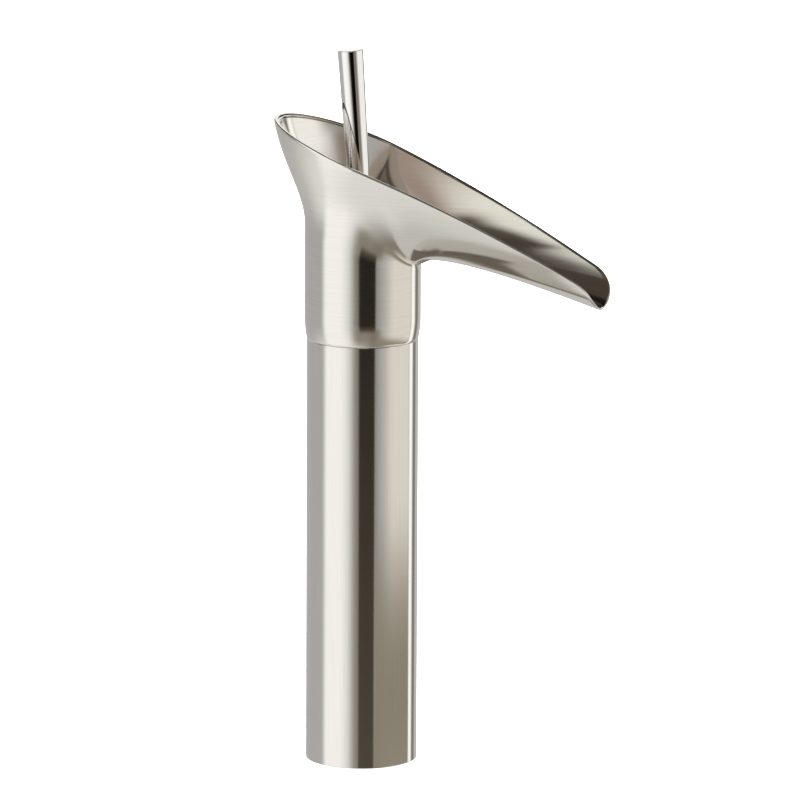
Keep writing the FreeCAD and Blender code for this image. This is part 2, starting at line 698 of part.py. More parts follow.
def ball_sweep(height):
    """Furthest reach along X of the ball at a height, with the stem tilted forward."""
    tilt = math.radians(LEAN + TILT_RANGE)
    above = height - PIVOT + LOWER_ARM * math.cos(tilt)
    return LOWER_ARM * math.sin(tilt) + math.sqrt(max(BALL_RADIUS ** 2 - above ** 2, 0))


def stem_slot():
    """Upright slot with round ends that leaves the stem and its ball room to tilt."""
    radius = STEM_RADIUS + BODY_GAP
    reach = max(ball_sweep(FLANGE_FOOT), stem_sweep(PIVOT - STEM_TAPER_DROP, STEM_RADIUS),
                stem_sweep(TURRET_TOP, STEM_RADIUS)) + BODY_GAP
    offset = reach - radius
    foot, top = FLANGE_FOOT - OVER, TURRET_TOP + OVER
    middle = Part.makeBox(2 * offset, 2 * radius, top - foot, V(-offset, -radius, foot))
    ends = [cylinder(radius, foot, top, V(side * offset, 0, 0)) for side in (1, -1)]
    return middle.fuse(ends)


def cross_bore(radius, length, height):
    return Part.makeCylinder(radius, length, V(0, -length / 2, height), V(0, 1, 0))


def stem_turret():
    """Rotor that turns with the handle and carries the hinge pin."""
    flange = cylinder(FLANGE_RADIUS, FLANGE_FOOT, FLANGE_FOOT + FLANGE_HEIGHT)
    neck = cylinder(TURRET_RADIUS, FLANGE_FOOT, TURRET_TOP)
    return flange.fuse(neck).cut([stem_slot(), cross_bore(PIN_RADIUS, 3 * TURRET_RADIUS, PIVOT)])


def thrust_washer():
    """Low-friction ring between the turret's flange and the housing cap."""
    return tube(FLANGE_RADIUS - THRUST_INSET, TURRET_RADIUS + BODY_GAP, THRUST_FOOT, CAP_FOOT)


def stem_hinge_pin():
    return cross_bore(PIN_RADIUS, 2 * (TURRET_RADIUS - PIN_RECESS), PIVOT)


STEM_TOP = PIVOT + HANDLE_START + HANDLE_BORE_DEPTH - STEM_END_GAP


def joystick_stem():
    """Steel stem: ball below, waist, hinge eye, and a spigot for the handle above."""
    wide_foot = PIVOT - STEM_TAPER_DROP
    narrow_top = wide_foot - STEM_TAPER_HEIGHT
    rod = turned(lines([(0, BALL_CENTRE), (STEM_NECK_RADIUS, BALL_CENTRE), (STEM_NECK_RADIUS, narrow_top),
                        (STEM_RADIUS, wide_foot), (STEM_RADIUS, STEM_TOP), (0, STEM_TOP), (0, BALL_CENTRE)]))
    ball = Part.makeSphere(BALL_RADIUS, V(0, 0, BALL_CENTRE))
    stem = rod.fuse(ball).cut(cross_bore(PIN_RADIUS + RUNNING_GAP, 3 * STEM_RADIUS, PIVOT))
    return leaning(stem)


def handle_radius(height):
    """Radius of the tapered handle at a height above its foot."""
    return HANDLE_FOOT_RADIUS + (HANDLE_TOP_RADIUS - HANDLE_FOOT_RADIUS) * height / HANDLE_LENGTH


def handle_rod():
    """Tapered round handle with a blind bore for the stem and a cross hole for its screw."""
    foot = PIVOT + HANDLE_START
    top = foot + HANDLE_LENGTH
    rod = Part.makeCone(HANDLE_FOOT_RADIUS, HANDLE_TOP_RADIUS, HANDLE_LENGTH, V(0, 0, foot), UP)
    crown = [e for e in rod.Edges if e.BoundBox.ZMin > top - NEAR]
    rod = rod.makeChamfer(HANDLE_TOP_BEVEL, crown)
    bore = cylinder(STEM_RADIUS, foot, foot + HANDLE_BORE_DEPTH)
    screw_hole = Part.makeCylinder(GRUB_RADIUS, 2 * HANDLE_TOP_RADIUS, V(0, 0, foot + GRUB_ABOVE_FOOT), V(-1, 0, 0))
    return leaning(rod.cut([bore, screw_hole]))


def handle_grub_screw():
    """Screw from behind that locks the handle on the stem, just below the surface."""
    height = PIVOT + HANDLE_START + GRUB_ABOVE_FOOT
    screw = Part.makeCylinder(GRUB_RADIUS, GRUB_LENGTH, V(-STEM_RADIUS, 0, height), V(-1, 0, 0))
    within = Part.makeCone(HANDLE_FOOT_RADIUS, HANDLE_TOP_RADIUS, HANDLE_LENGTH, V(0, 0, PIVOT + HANDLE_START), UP)
    return leaning(screw.common(within).cut(cylinder(STEM_RADIUS, SEAM, STEM_TOP + OVER)))


# ================================================================ nut and dome
def cartridge_retaining_nut():
    """Ring nut that presses the cartridge on its seat, with a hexagon for the spanner."""
    collar = cylinder(NUT_RADIUS, HOUSING_TOP, FLOOR + NUT_COLLAR)
    grip = hexagon(NUT_HEX_FLATS, FLOOR, FLOOR + NUT_COLLAR + NUT_HEX_HEIGHT)
    bore = cylinder(TURRET_RADIUS + BODY_GAP, HOUSING_TOP, TURRET_TOP)
    return collar.fuse(grip).cut(bore)


def dome_cap(radius, rise):
    """Solid cap of a sphere over the skirt, at this rise where its opening is."""
    foot = FLOOR + NUT_COLLAR
    drop = (radius ** 2 - DOME_OPENING ** 2 - rise ** 2) / (2 * rise)
    sphere = Part.makeSphere(math.hypot(radius, drop), V(0, 0, foot - drop))
    return sphere.common(cylinder(radius, foot, foot + DOME_HEIGHT)).fuse(cylinder(radius, FLOOR, foot))


def trim_dome():
    """Thin polished cover over the nut, pushed onto its collar."""
    rise = DOME_HEIGHT - NUT_COLLAR
    outside = dome_cap(DOME_RADIUS, rise)
    inside = dome_cap(NUT_RADIUS, rise - DOME_WALL)
    opening = cylinder(DOME_OPENING, FLOOR, FLOOR + 2 * DOME_HEIGHT)
    return outside.cut([inside, opening]).removeSplitter()


# ================================================================ all the pieces
NODES = {
    "column_sleeve": column_sleeve,
    "base_block": base_block,
    "base_gasket": base_gasket,
    "base_side_seal": base_side_seal,
    "hot_riser_tube": lambda: riser_tube(RISERS[1]),
    "cold_riser_tube": lambda: riser_tube(RISERS[0]),
    "riser_seals": riser_seals,
    "tie_rod": tie_rod,
    "tie_rod_washer": tie_rod_washer,
    "tie_rod_nut": tie_rod_nut,
    "head_casting": head_casting,
    "head_spigot_seal": head_spigot_seal,
    "cartridge_housing": cartridge_housing,
    "cartridge_base": cartridge_base,
    "cartridge_port_seals": cartridge_port_seals,
    "fixed_ceramic_disc": fixed_ceramic_disc,
    "moving_ceramic_disc": moving_ceramic_disc,
    "disc_carrier": disc_carrier,
    "stem_turret": stem_turret,
    "turret_seal": turret_seal,
    "thrust_washer": thrust_washer,
    "stem_hinge_pin": stem_hinge_pin,
    "joystick_stem": joystick_stem,
    "handle_rod": handle_rod,
    "handle_grub_screw": handle_grub_screw,
    "cartridge_retaining_nut": cartridge_retaining_nut,
    "trim_dome": trim_dome,
}

os.makedirs("parts", exist_ok=True)
for name, make in NODES.items():
    shape = make()
    shape.exportStep("parts/" + name + ".step")
    print(name, "solids", len(shape.Solids), "valid", shape.isValid(), "volume", round(shape.Volume, 1))
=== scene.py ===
import json
import math

import bpy
import numpy as np
from bpy.props import FloatProperty, FloatVectorProperty, PointerProperty
from mathutils import Matrix, Vector


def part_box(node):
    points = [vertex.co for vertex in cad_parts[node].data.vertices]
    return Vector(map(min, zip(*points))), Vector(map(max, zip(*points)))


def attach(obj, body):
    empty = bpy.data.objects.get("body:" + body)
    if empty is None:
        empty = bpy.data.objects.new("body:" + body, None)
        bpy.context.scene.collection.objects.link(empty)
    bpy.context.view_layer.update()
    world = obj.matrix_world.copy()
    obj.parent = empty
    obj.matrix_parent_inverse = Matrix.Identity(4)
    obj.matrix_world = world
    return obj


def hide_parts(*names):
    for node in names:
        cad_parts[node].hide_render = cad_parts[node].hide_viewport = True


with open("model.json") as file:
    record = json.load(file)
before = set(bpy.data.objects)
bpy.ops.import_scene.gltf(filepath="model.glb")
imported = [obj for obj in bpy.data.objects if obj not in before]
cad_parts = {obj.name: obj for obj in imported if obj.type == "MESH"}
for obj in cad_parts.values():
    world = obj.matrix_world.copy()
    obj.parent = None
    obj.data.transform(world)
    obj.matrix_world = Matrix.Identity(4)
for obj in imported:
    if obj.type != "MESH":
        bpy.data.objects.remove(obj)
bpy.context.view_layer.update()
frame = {"nodes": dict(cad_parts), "record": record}

bl_info = {
    "name": "Waterfall basin faucet",
    "version": (1, 0, 0),
    "blender": (4, 5, 0),
    "location": "View3D > Sidebar > Faucet",
    "description": "Dresses the frame of a tall basin faucet with its surfaces and finishes",
    "category": "Object",
}

SEAL_PROUD = 0.00015                                # how far the spigot's seal stands out of the spigot
CARTRIDGE_GAP = 0.0001                              # between the cartridge and its bore in the head
PIN_RADIUS = 0.0015
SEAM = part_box("column_sleeve")[1][2]                # height where sleeve and head meet
COLUMN_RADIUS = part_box("column_sleeve")[1][0]
SPIGOT_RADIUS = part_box("head_spigot_seal")[1][0] - SEAL_PROUD
SPIGOT_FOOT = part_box("head_casting")[0][2]
CARTRIDGE_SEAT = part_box("cartridge_housing")[0][2]
CARTRIDGE_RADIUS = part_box("cartridge_housing")[1][0] + CARTRIDGE_GAP
NUT_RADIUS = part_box("cartridge_retaining_nut")[1][0]
NUT_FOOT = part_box("cartridge_retaining_nut")[0][2]
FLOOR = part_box("trim_dome")[0][2]                   # height of the bowl's floor
DOME_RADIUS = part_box("trim_dome")[1][0]
DOME_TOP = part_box("trim_dome")[1][2]
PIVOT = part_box("stem_hinge_pin")[0][2] + PIN_RADIUS  # height of the hinge pin's axis
SPOUT_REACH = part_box("head_casting")[1][0]

# fineness of the meshes
HEAD_COLUMNS = 400                                  # points in each ring of the head
OUTSIDE_ROWS = 92                                   # rings up the outside of the flare
INSIDE_ROWS = 72                                    # rings down its inside
EDGE_ROWS = 7                                       # rings round each edge of the rim
CURVE_STEPS = 400                                   # points along a curve that is measured
STRAIGHT_STEPS = 40                                 # points along its straight end
HALVINGS = 40                                       # steps of a search by bisection
ROUND_COLUMNS = 192                                 # points round the handle and the dome
SLEEVE_COLUMNS = 256                                # points round the column
STEM_COLUMNS = 96                                   # points round the stem
SCREW_COLUMNS = 72                                  # points round the grub screw


# ---------------------------------------------------------------- sizes and colours
# short forms of Blender's properties
def length(name, description, default):
    return FloatProperty(name=name, description=description, default=default, unit="LENGTH", precision=5)


def angle(name, description, degrees):
    return FloatProperty(name=name, description=description, default=math.radians(degrees), subtype="ANGLE")


def number(name, description, default):
    return FloatProperty(name=name, description=description, default=default, precision=4)


def colour(name, description, default):
    return FloatVectorProperty(name=name, description=description, default=default, size=3,
                               min=0.0, max=1.0, subtype="COLOR")


class FaucetHeadSizes(bpy.types.PropertyGroup):
    """Sizes of the flared head.  A rise is a height above the seam."""
    neck_swell: length("Neck swell", "Neck radius beyond the column's", 0.001)
    neck_round: length("Neck round", "Height over which the neck draws in to the column", 0.010)
    edge_bevel: length("Edge bevel", "Small bevel on both edges at the seam", 0.0003)
    flare_front: length("Flare start in front", "Rise where the flare leaves the neck in front", 0.0328)
    flare_back: length("Flare start at the back", "The same rise at the back", 0.0518)
    lift_front: length("Lift in front", "Rise of the flare's second control in front", 0.0388)
    lift_side: length("Lift at the side", "The same rise at the sides", 0.0660)
    lift_back: length("Lift at the back", "The same rise at the back", 0.0670)
    shoulder_front: length("Shoulder in front", "Spread of the third control beyond the neck there", 0.0140)
    shoulder_side: length("Shoulder at the side", "The same spread at the sides", 0.0070)
    shoulder_back: length("Shoulder at the back", "The same spread at the back", 0.0127)
    shoulder_rise_front: length("Shoulder rise in front", "Rise of the third control in front", 0.0412)
    shoulder_rise_side: length("Shoulder rise at the side", "The same rise at the sides", 0.0708)
    shoulder_rise_back: length("Shoulder rise at the back", "The same rise at the back", 0.0804)
    shoulder_forward: length("Shoulder forward", "Forward shift of the side shoulders", 0.0030)
    wall: length("Wall", "Thickness of the flared wall", 0.0026)
    lip_thinning: number("Lip thinning", "Share by which the wall thins out towards the tip", 0.55)
    rim_rise: length("Rim rise", "Rise of the rim's side outline on the axis", 0.0841)
    rim_slope: number("Rim slope", "Fall of the rim per length towards the tip", 0.406)
    rim_bend: number("Rim bend", "Downward bend of the rim, per metre", 0.87)
    rim_round: number("Rim round", "Share of the wall's thickness in each rounded edge of the rim", 0.38)
    rim_outer: length("Rim outer drop", "Reach of the rim's rounding down the outside", 0.0014)
    rim_inner: length("Rim inner drop", "Reach of the rim's rounding down the inside", 0.0010)
    mouth_centre: length("Mouth centre", "Where the mouth is widest, in front of the axis", 0.0050)
    mouth_side: length("Mouth to the side", "Mouth beyond the neck, to each side", 0.0108)
    mouth_back: length("Mouth to the back", "Mouth beyond the neck, to the back", 0.0152)
    spout_taper: number("Spout taper", "Narrowing of each side per length", 0.102)
    spout_bend: number("Spout side bend", "Inward bend of each side, per metre", 0.35)
    lip_corner: length("Lip corner", "Round corner between rim and end face", 0.0165)
    keel_rise: length("Keel rise", "Rise of the underside where it leaves the neck", 0.0396)
    keel_start: length("Keel start", "Distance of that place from the axis", 0.0300)
    keel_slope: number("Keel slope", "Fall of the underside per length", 0.159)
    keel_bend: number("Keel bend", "Downward bend of the underside, per metre", 1.29)
    section_top: number("Section top power", "Fullness of the spout's section towards the rim", 1.3)
    section_side: number("Section side power", "Fullness of the spout's section towards the keel", 2.0)
    wall_lean: number("Wall lean", "Outward lean of the section above the rim", 0.25)
    trim_allowance: length("Trim allowance", "Length of shell beyond the rim, trimmed off", 0.0060)
    floor_round: length("Floor round", "Radius between the bowl's wall and its floor", 0.0008)
    slot_inner: length("Slot inner radius", "Inner wall of the water slot in the floor", 0.0189)
    slot_outer: length("Slot outer radius", "Outer wall of the water slot in the floor", 0.0223)
    slot_depth: length("Slot depth", "Depth to which the water slot is drawn", 0.0080)
    slot_angle: angle("Slot half angle", "Reach of the slot to each side of the front", 51.0)


class FaucetHandleSizes(bpy.types.PropertyGroup):
    """Sizes of the joystick, measured up its own axis from the hinge pin."""
    lean: angle("Lean", "Backward lean of the handle at rest", 4.0)
    start: length("Handle start", "Foot of the handle above the pin", 0.0120)
    rod_length: length("Handle length", "Length of the tapered rod", 0.0750)
    foot_radius: length("Foot radius", "Radius of the rod at its foot", 0.0047)
    top_radius: length("Top radius", "Radius of the rod at its top", 0.0058)
    top_bevel: length("Top bevel", "Rounding of the rod's upper edge", 0.0004)
    stem_radius: length("Stem radius", "Radius of the steel stem", 0.0030)
    neck_radius: length("Stem waist radius", "Radius of the stem's waist above the ball", 0.0018)
    ball_radius: length("Ball radius", "Radius of the ball at the stem's foot", 0.0026)
    ball_drop: length("Ball drop", "Centre of the ball below the pin", 0.0171)
    screw_height: length("Screw height", "Grub screw above the foot of the rod", 0.0060)
    screw_radius: length("Screw radius", "Radius of the grub screw", 0.0015)
    screw_sink: length("Screw sink", "Screw face below the surface of the rod", 0.0007)
    screw_socket: length("Screw socket", "Hexagon socket of the screw, across its flats", 0.0013)


class FaucetFinishes(bpy.types.PropertyGroup):
    """Colours of the finishes."""
    nickel: colour("Satin nickel", "Plating of column and head", (0.845, 0.822, 0.783))
    nickel_deep: colour("Satin nickel, deep", "Darker tone of its brushed streaks", (0.75, 0.728, 0.693))
    chrome: colour("Chrome", "Plating of the handle and the dome", (0.86, 0.85, 0.84))
    brass: colour("Brass", "Machined brass of base and nuts", (0.76, 0.58, 0.32))
    copper: colour("Copper", "Drawn riser tubes", (0.78, 0.44, 0.30))
    steel: colour("Steel", "Turned stainless steel", (0.62, 0.62, 0.61))
    rubber: colour("Rubber", "Seals and gasket", (0.018, 0.018, 0.020))
    plastic: colour("Plastic", "Moulded cartridge pieces", (0.68, 0.68, 0.66))
    ceramic: colour("Ceramic", "Lapped ceramic discs", (0.88, 0.86, 0.80))


class FaucetStage(bpy.types.PropertyGroup):
    """Camera and studio."""
    camera_azimuth: angle("Camera azimuth", "Camera to the right of the faucet's side view", 14.0)
    camera_distance: length("Camera distance", "Level distance from the faucet's axis", 3.496)
    camera_height: length("Camera height", "Height above the deck", 0.900)
    camera_offset: length("Camera offset", "Camera to the right of the axis", 0.0168)
    camera_pitch: angle("Camera pitch", "Downward pitch", 11.894)
    camera_roll: angle("Camera roll", "Turn about the view axis", 0.26)
    lens: FloatProperty(name="Lens", description="Focal length on a 36 mm frame", default=360.0,
                        unit="CAMERA")
    floor_radius: length("Floor radius", "Radius of the pale floor", 6.0)
    light_height: length("Light height", "Height of the soft light above the deck", 4.0)
    light_size: length("Light size", "Side of the square soft light", 6.0)
    light_power: FloatProperty(name="Light power", description="Power of the soft light", default=900.0,
                               unit="POWER")


# ---------------------------------------------------------------- mesh tools
def make_mesh(name, points, quads, triangles):
    """Smooth-shaded object from an array of points and arrays of corner indices."""
    mesh = bpy.data.meshes.new(name)
    corners = np.concatenate([quads.ravel(), triangles.ravel()]).astype(np.int32)
    totals = np.concatenate([np.full(len(quads), 4), np.full(len(triangles), 3)]).astype(np.int32)
    starts = np.concatenate([[0], np.cumsum(totals)[:-1]]).astype(np.int32)
    mesh.vertices.add(len(points))
    mesh.vertices.foreach_set("co", points.astype(np.float32).ravel())
    mesh.loops.add(len(corners))
    mesh.loops.foreach_set("vertex_index", corners)
    mesh.polygons.add(len(totals))
    mesh.polygons.foreach_set("loop_start", starts)
    mesh.polygons.foreach_set("loop_total", totals)
    mesh.polygons.foreach_set("use_smooth", np.ones(len(totals), dtype=bool))
    mesh.update(calc_edges=True)
    mesh.validate()
    piece = bpy.data.objects.new(name, mesh)
    bpy.context.scene.collection.objects.link(piece)
    return piece


def quads_between(index, beside):
    """Corner indices of the quads between rows of points and the points beside them."""
    return np.stack([index[:-1], beside[:-1], beside[1:], index[1:]], axis=-1).reshape(-1, 4)


def ring_piece(name, rings, first_pole, last_pole):
    """Closed piece from stacked rings of points (rows, columns, 3) and a pole at each end.

    The rings run up the outside and down the inside, with their points counterclockwise
    seen from above, so that every face looks outward.
    """
    rows, columns = rings.shape[:2]
    points = np.concatenate([rings.reshape(-1, 3), [first_pole, last_pole]])
    index = np.arange(rows * columns).reshape(rows, columns)
    beside = np.roll(index, -1, axis=1)
    start, end = rows * columns, rows * columns + 1
    first = np.stack([np.full(columns, start), beside[0], index[0]], axis=-1)
    last = np.stack([index[-1], beside[-1], np.full(columns, end)], axis=-1)
    return make_mesh(name, points, quads_between(index, beside), np.concatenate([first, last]))


def closed_tube(name, rings):
    """Piece from rings that close on themselves, like a tyre, with no pole."""
    rows, columns = rings.shape[:2]
    index = np.arange(rows * columns).reshape(rows, columns)
    index = np.concatenate([index, index[:1]])
    quads = quads_between(index, np.roll(index, -1, axis=1))
    return make_mesh(name, rings.reshape(-1, 3), quads, np.zeros((0, 3), dtype=int))


def circle(columns):
    """Directions of the points of a ring."""
    return np.linspace(0, 2 * math.pi, columns, endpoint=False)


def turned_rings(profile, turns):
    """Rings of a surface of revolution about Z, from (radius, height) rows."""
    profile = np.asarray(profile, dtype=float)
    radius, height = profile[:, :1], profile[:, 1:]
    return np.stack([radius * np.cos(turns), radius * np.sin(turns), height + 0 * turns], axis=-1)


def turned_piece(name, profile, columns):
    """Piece of revolution.  The first and last rows of the profile are its poles, on the axis."""
    rings = turned_rings(profile[1:-1], circle(columns))
    return ring_piece(name, rings, (0, 0, profile[0][1]), (0, 0, profile[-1][1]))


def rounded(profile, radius, steps=5):
    """Profile with each inner corner replaced by a parabola of about this radius, and a
    support row just beyond each end of it, so that the smooth shading doesn't spill over."""
    longest = 0.4                                   # share of a side that a corner may take
    support = 0.3                                   # share of the parabola's reach
    rows = [profile[0]]
    for before, corner, after in zip(profile, profile[1:], profile[2:]):
        before, corner, after = (np.array(p, dtype=float) for p in (before, corner, after))
        back, on = before - corner, after - corner
        reach = min(radius, longest * np.linalg.norm(back), longest * np.linalg.norm(on))
        start = corner + back / np.linalg.norm(back) * reach
        end = corner + on / np.linalg.norm(on) * reach
        rows.append(tuple(start + (start - corner) * support))
        for share in np.linspace(0, 1, steps):
            point = start * (1 - share) ** 2 + corner * 2 * share * (1 - share) + end * share ** 2
            rows.append(tuple(point))
        rows.append(tuple(end + (end - corner) * support))
    return rows + [profile[-1]]


def first_above(profile, height):
    """Index of the first row of a profile above a height."""
    return next(i for i, row in enumerate(profile) if row[1] > height)


def place(piece, body, slot, material, *nodes):
    """Give a new piece its body and finish, and hide the CAD nodes that it stands for."""
    piece.data.materials.append(material)
    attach(piece, body)
    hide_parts(*nodes)


# ---------------------------------------------------------------- the flared head's surface
def blend(turns, front, side, back):
    """Value between front, side and back by the square of the direction's cosine."""
    cosine = np.cos(turns)
    return side + (np.where(cosine > 0, front, back) - side) * cosine ** 2


def rim_height(s, x):
    """Height of the rim seen from the side: a parabola that falls and bends down to the tip."""
    return SEAM + s.rim_rise - s.rim_slope * x - s.rim_bend * x * x


def rim_angle(s, x):
    """Angle of the rim to the level, from the slope of that parabola."""
    return np.arctan(-s.rim_slope - 2 * s.rim_bend * x)


def keel_height(s, x):
    """Height of the underside's middle line: another parabola, which starts near the neck."""
    along = x - s.keel_start
    return SEAM + s.keel_rise - s.keel_slope * along - s.keel_bend * along ** 2


def section_width(s, x, z):
    """Half width of the spout's U-shaped section: a superellipse from rim to keel, leaning
    out above the rim, on a plan outline that tapers and bends towards the tip."""
    along = x - s.mouth_centre
    side = COLUMN_RADIUS + s.neck_swell + s.mouth_side - s.spout_taper * along - s.spout_bend * along ** 2
    top = rim_height(s, x)
    depth = (top - z) / (top - keel_height(s, x))
    fullness = (1 - np.clip(depth, 0, 1) ** s.section_top) ** (1 / s.section_side)
    return side * np.where(depth < 0, 1 - s.wall_lean * depth, fullness)


def corner_start(s, reach, radius):
    """Station on the rim's outline where a corner of this radius begins, found in a few
    rounds because the rim's angle changes along it."""
    x = reach - radius
    for _ in range(8):
        x = reach - radius - radius * np.sin(rim_angle(s, x))
    return x


def brim_path(s):
    """Points along the brim from the mouth's widest place to the middle of the tip: the
    rim's parabola, a round corner and the upright end, each beyond the rim by the allowance."""
    rim_steps, corner_steps, end_steps = 121, 40, 80
    reach = SPOUT_REACH + s.trim_allowance
    radius = s.lip_corner + s.trim_allowance
    start = corner_start(s, reach, radius)
    slope = rim_angle(s, start)
    centre_x = start + radius * np.sin(slope)
    centre_z = rim_height(s, start) + s.trim_allowance - radius * np.cos(slope)
    along = np.linspace(s.mouth_centre, start, rim_steps)
    turn = slope + (-math.pi / 2 - slope) * np.arange(1, corner_steps + 1) / corner_steps
    drop = np.arange(1, end_steps + 1) / end_steps
    x = np.concatenate([along, centre_x - radius * np.sin(turn), np.full(end_steps, reach)])
    z = np.concatenate([rim_height(s, along) + s.trim_allowance, centre_z + radius * np.cos(turn),
                        centre_z + (keel_height(s, reach) - centre_z) * drop])
    return np.stack([x, section_width(s, x, z), z], axis=-1)


def brim(s, turns):
    """End of the shell's curve in each direction: round the back a blend of two radii, and
    towards the tip a cubic share of the brim path's length."""
    path = brim_path(s)
    steps = np.linalg.norm(np.diff(path, axis=0), axis=1)
    lengths = np.concatenate([[0], np.cumsum(steps)])
    widest = path[0, 1]
    folded = np.where(turns > math.pi, 2 * math.pi - turns, turns)
    cosine, sine = np.cos(folded), np.sin(folded)
    back = COLUMN_RADIUS + s.neck_swell + s.mouth_back
    radius = widest + (back - widest) * cosine ** 2
    back_x = radius * cosine + s.mouth_centre * sine ** 2
    behind = np.stack([back_x, radius * sine, rim_height(s, back_x) + s.trim_allowance], axis=-1)
    share = np.clip(1 - folded / (math.pi / 2), 0, 1)
    first = widest * math.pi / 2 / lengths[-1]
    third = first - 1
    second = 1 - first - third
    at = lengths[-1] * (first * share + second * share ** 2 + third * share ** 3)
    before = np.stack([np.interp(at, lengths, path[:, i]) for i in range(3)], axis=-1)
    end = np.where((cosine <= 0)[..., None], behind, before)
    end[..., 1] *= np.where(turns > math.pi, -1, 1)
    return end


def shell_controls(s, turns):
    """Four control points of the shell's cubic in each direction: on the neck, above it,
    at the shoulder, and on the brim."""
    neck = COLUMN_RADIUS + s.neck_swell
    cosine, sine = np.cos(turns), np.sin(turns)
    middle = (s.flare_front + s.flare_back) / 2
    foot_z = SEAM + middle + (s.flare_front - s.flare_back) / 2 * cosine
    foot = np.stack([neck * cosine, neck * sine, foot_z], axis=-1)
    lift_z = SEAM + blend(turns, s.lift_front, s.lift_side, s.lift_back)
    lift = np.stack([neck * cosine, neck * sine, lift_z], axis=-1)
    spread = np.where(cosine > 0, s.shoulder_front, s.shoulder_back)
    shoulder_x = (neck + spread) * cosine + s.shoulder_forward * sine ** 2
    shoulder_z = SEAM + blend(turns, s.shoulder_rise_front, s.shoulder_rise_side, s.shoulder_rise_back)
    shoulder = np.stack([shoulder_x, (neck + s.shoulder_side) * sine, shoulder_z], axis=-1)
    return np.stack([foot, lift, shoulder, brim(s, turns)])


def cubic(controls, t):
    """Points of cubic curves at t, by the Bernstein weights of their four control points."""
    t = t[..., None]
    r = 1 - t
    weights = (r ** 3, 3 * r * r * t, 3 * r * t * t, t ** 3)
    return sum(control * weight for control, weight in zip(controls, weights))


def inset_controls(s, turns):
    """Controls of the inner wall's cubics: they pass the shell's points at 0, 1/3, 2/3 and 1,
    each moved square to the shell by the wall's thickness."""
    step = 0.001                                    # of the curve and of the direction
    here, before, after = (shell_controls(s, turns + d) for d in (0, -step, step))
    passed = []
    for share in (0, 1 / 3, 2 / 3, 1):
        t = np.full(turns.shape, share)
        along = cubic(here, np.minimum(t + step, 1)) - cubic(here, np.maximum(t - step, 0))
        across = cubic(after, t) - cubic(before, t)
        outward = np.cross(across, along)
        outward /= np.linalg.norm(outward, axis=-1, keepdims=True)
        thinned = 1 - s.lip_thinning * np.maximum(np.cos(turns), 0) ** 2 * t ** 3
        passed.append(cubic(here, t) - outward * (s.wall * thinned)[..., None])
    start, first, second, end = passed
    a = first * 27 - start * 8 - end
    b = second * 27 - start - end * 8
    return np.stack([start, (a * 2 - b) / 18, (b * 2 - a) / 18, end])


def below_rim(s, points):
    """True where a point lies below the rim and behind the rounded end, seen from the side."""
    x, z = points[..., 0], points[..., 2]
    start = corner_start(s, SPOUT_REACH, s.lip_corner)
    slope = rim_angle(s, start)
    centre_x = start + s.lip_corner * np.sin(slope)
    centre_z = rim_height(s, start) - s.lip_corner * np.cos(slope)
    round_top = centre_z + np.sqrt(np.clip(s.lip_corner ** 2 - (x - centre_x) ** 2, 0, None))
    top = np.where(x > start, round_top, rim_height(s, x))
    return (x < SPOUT_REACH) & (z < top)


def crossing(inside, low, high):
    """Curve value where a test changes from true to false, by bisection in every direction."""
    for _ in range(HALVINGS):
        middle = (low + high) / 2
        within = inside(middle)
        low, high = np.where(within, middle, low), np.where(within, high, middle)
    return low


def rim_crossing(s, controls, turns):
    """Curve value where the cubic in each direction meets the rim."""
    return crossing(lambda t: below_rim(s, cubic(controls, t)), np.zeros_like(turns), np.ones_like(turns))


def even_rows(paths, shares, cut):
    """Rows at shares of each path's length, after `cut` is taken off its end.  The paths are
    dense polylines (steps, columns, 3)."""
    steps = np.linalg.norm(np.diff(paths, axis=0), axis=-1)
    lengths = np.concatenate([np.zeros((1, paths.shape[1])), np.cumsum(steps, axis=0)])
    wanted = shares[:, None] * (lengths[-1] - cut)
    upper = np.clip((lengths[:, None, :] <= wanted[None]).sum(axis=0), 1, len(lengths) - 1)
    low = np.take_along_axis(lengths, upper - 1, axis=0)
    high = np.take_along_axis(lengths, upper, axis=0)
    part = ((wanted - low) / np.maximum(high - low, 1e-12))[..., None]
    near = np.take_along_axis(paths, (upper - 1)[..., None], axis=0)
    far = np.take_along_axis(paths, upper[..., None], axis=0)
    return near + (far - near) * part


def corner_rows(before, corner, after, steps):
    """Rows round a corner: parabolas from the points before it to those after it."""
    share = np.linspace(0, 1, steps)[:, None, None]
    return before * (1 - share) ** 2 + corner * 2 * share * (1 - share) + after * share ** 2


def toward(start, end, distance):
    """Points at a distance from start on the way to end."""
    way = end - start
    return start + way / np.linalg.norm(way, axis=-1, keepdims=True) * distance


def neck_rings(s, turns):
    """Rings of the spigot, the bevelled edge at the seam and the arc by which the neck draws
    in to the column, with a support row on each side of the bevel."""
    neck = COLUMN_RADIUS + s.neck_swell
    bevel = s.edge_bevel
    before, halfway, after = bevel * 1.3, bevel * 0.3, bevel * 1.4
    foot_edge, arc_rows = 0.001, 12                 # foot's first ring from its edge, rings of the arc
    arc = (s.neck_swell ** 2 + s.neck_round ** 2) / (2 * s.neck_swell)
    rise = np.linspace(after, s.neck_round, arc_rows)
    swell = neck - arc + np.sqrt(arc ** 2 - (s.neck_round - rise) ** 2)
    profile = [(SPIGOT_RADIUS - foot_edge, SPIGOT_FOOT), (SPIGOT_RADIUS, SPIGOT_FOOT), (SPIGOT_RADIUS, SEAM),
               (COLUMN_RADIUS - before, SEAM), (COLUMN_RADIUS - bevel, SEAM),
               (COLUMN_RADIUS - halfway, SEAM + halfway), (COLUMN_RADIUS, SEAM + bevel)]
    return turned_rings(profile + list(zip(swell, SEAM + rise)), turns)


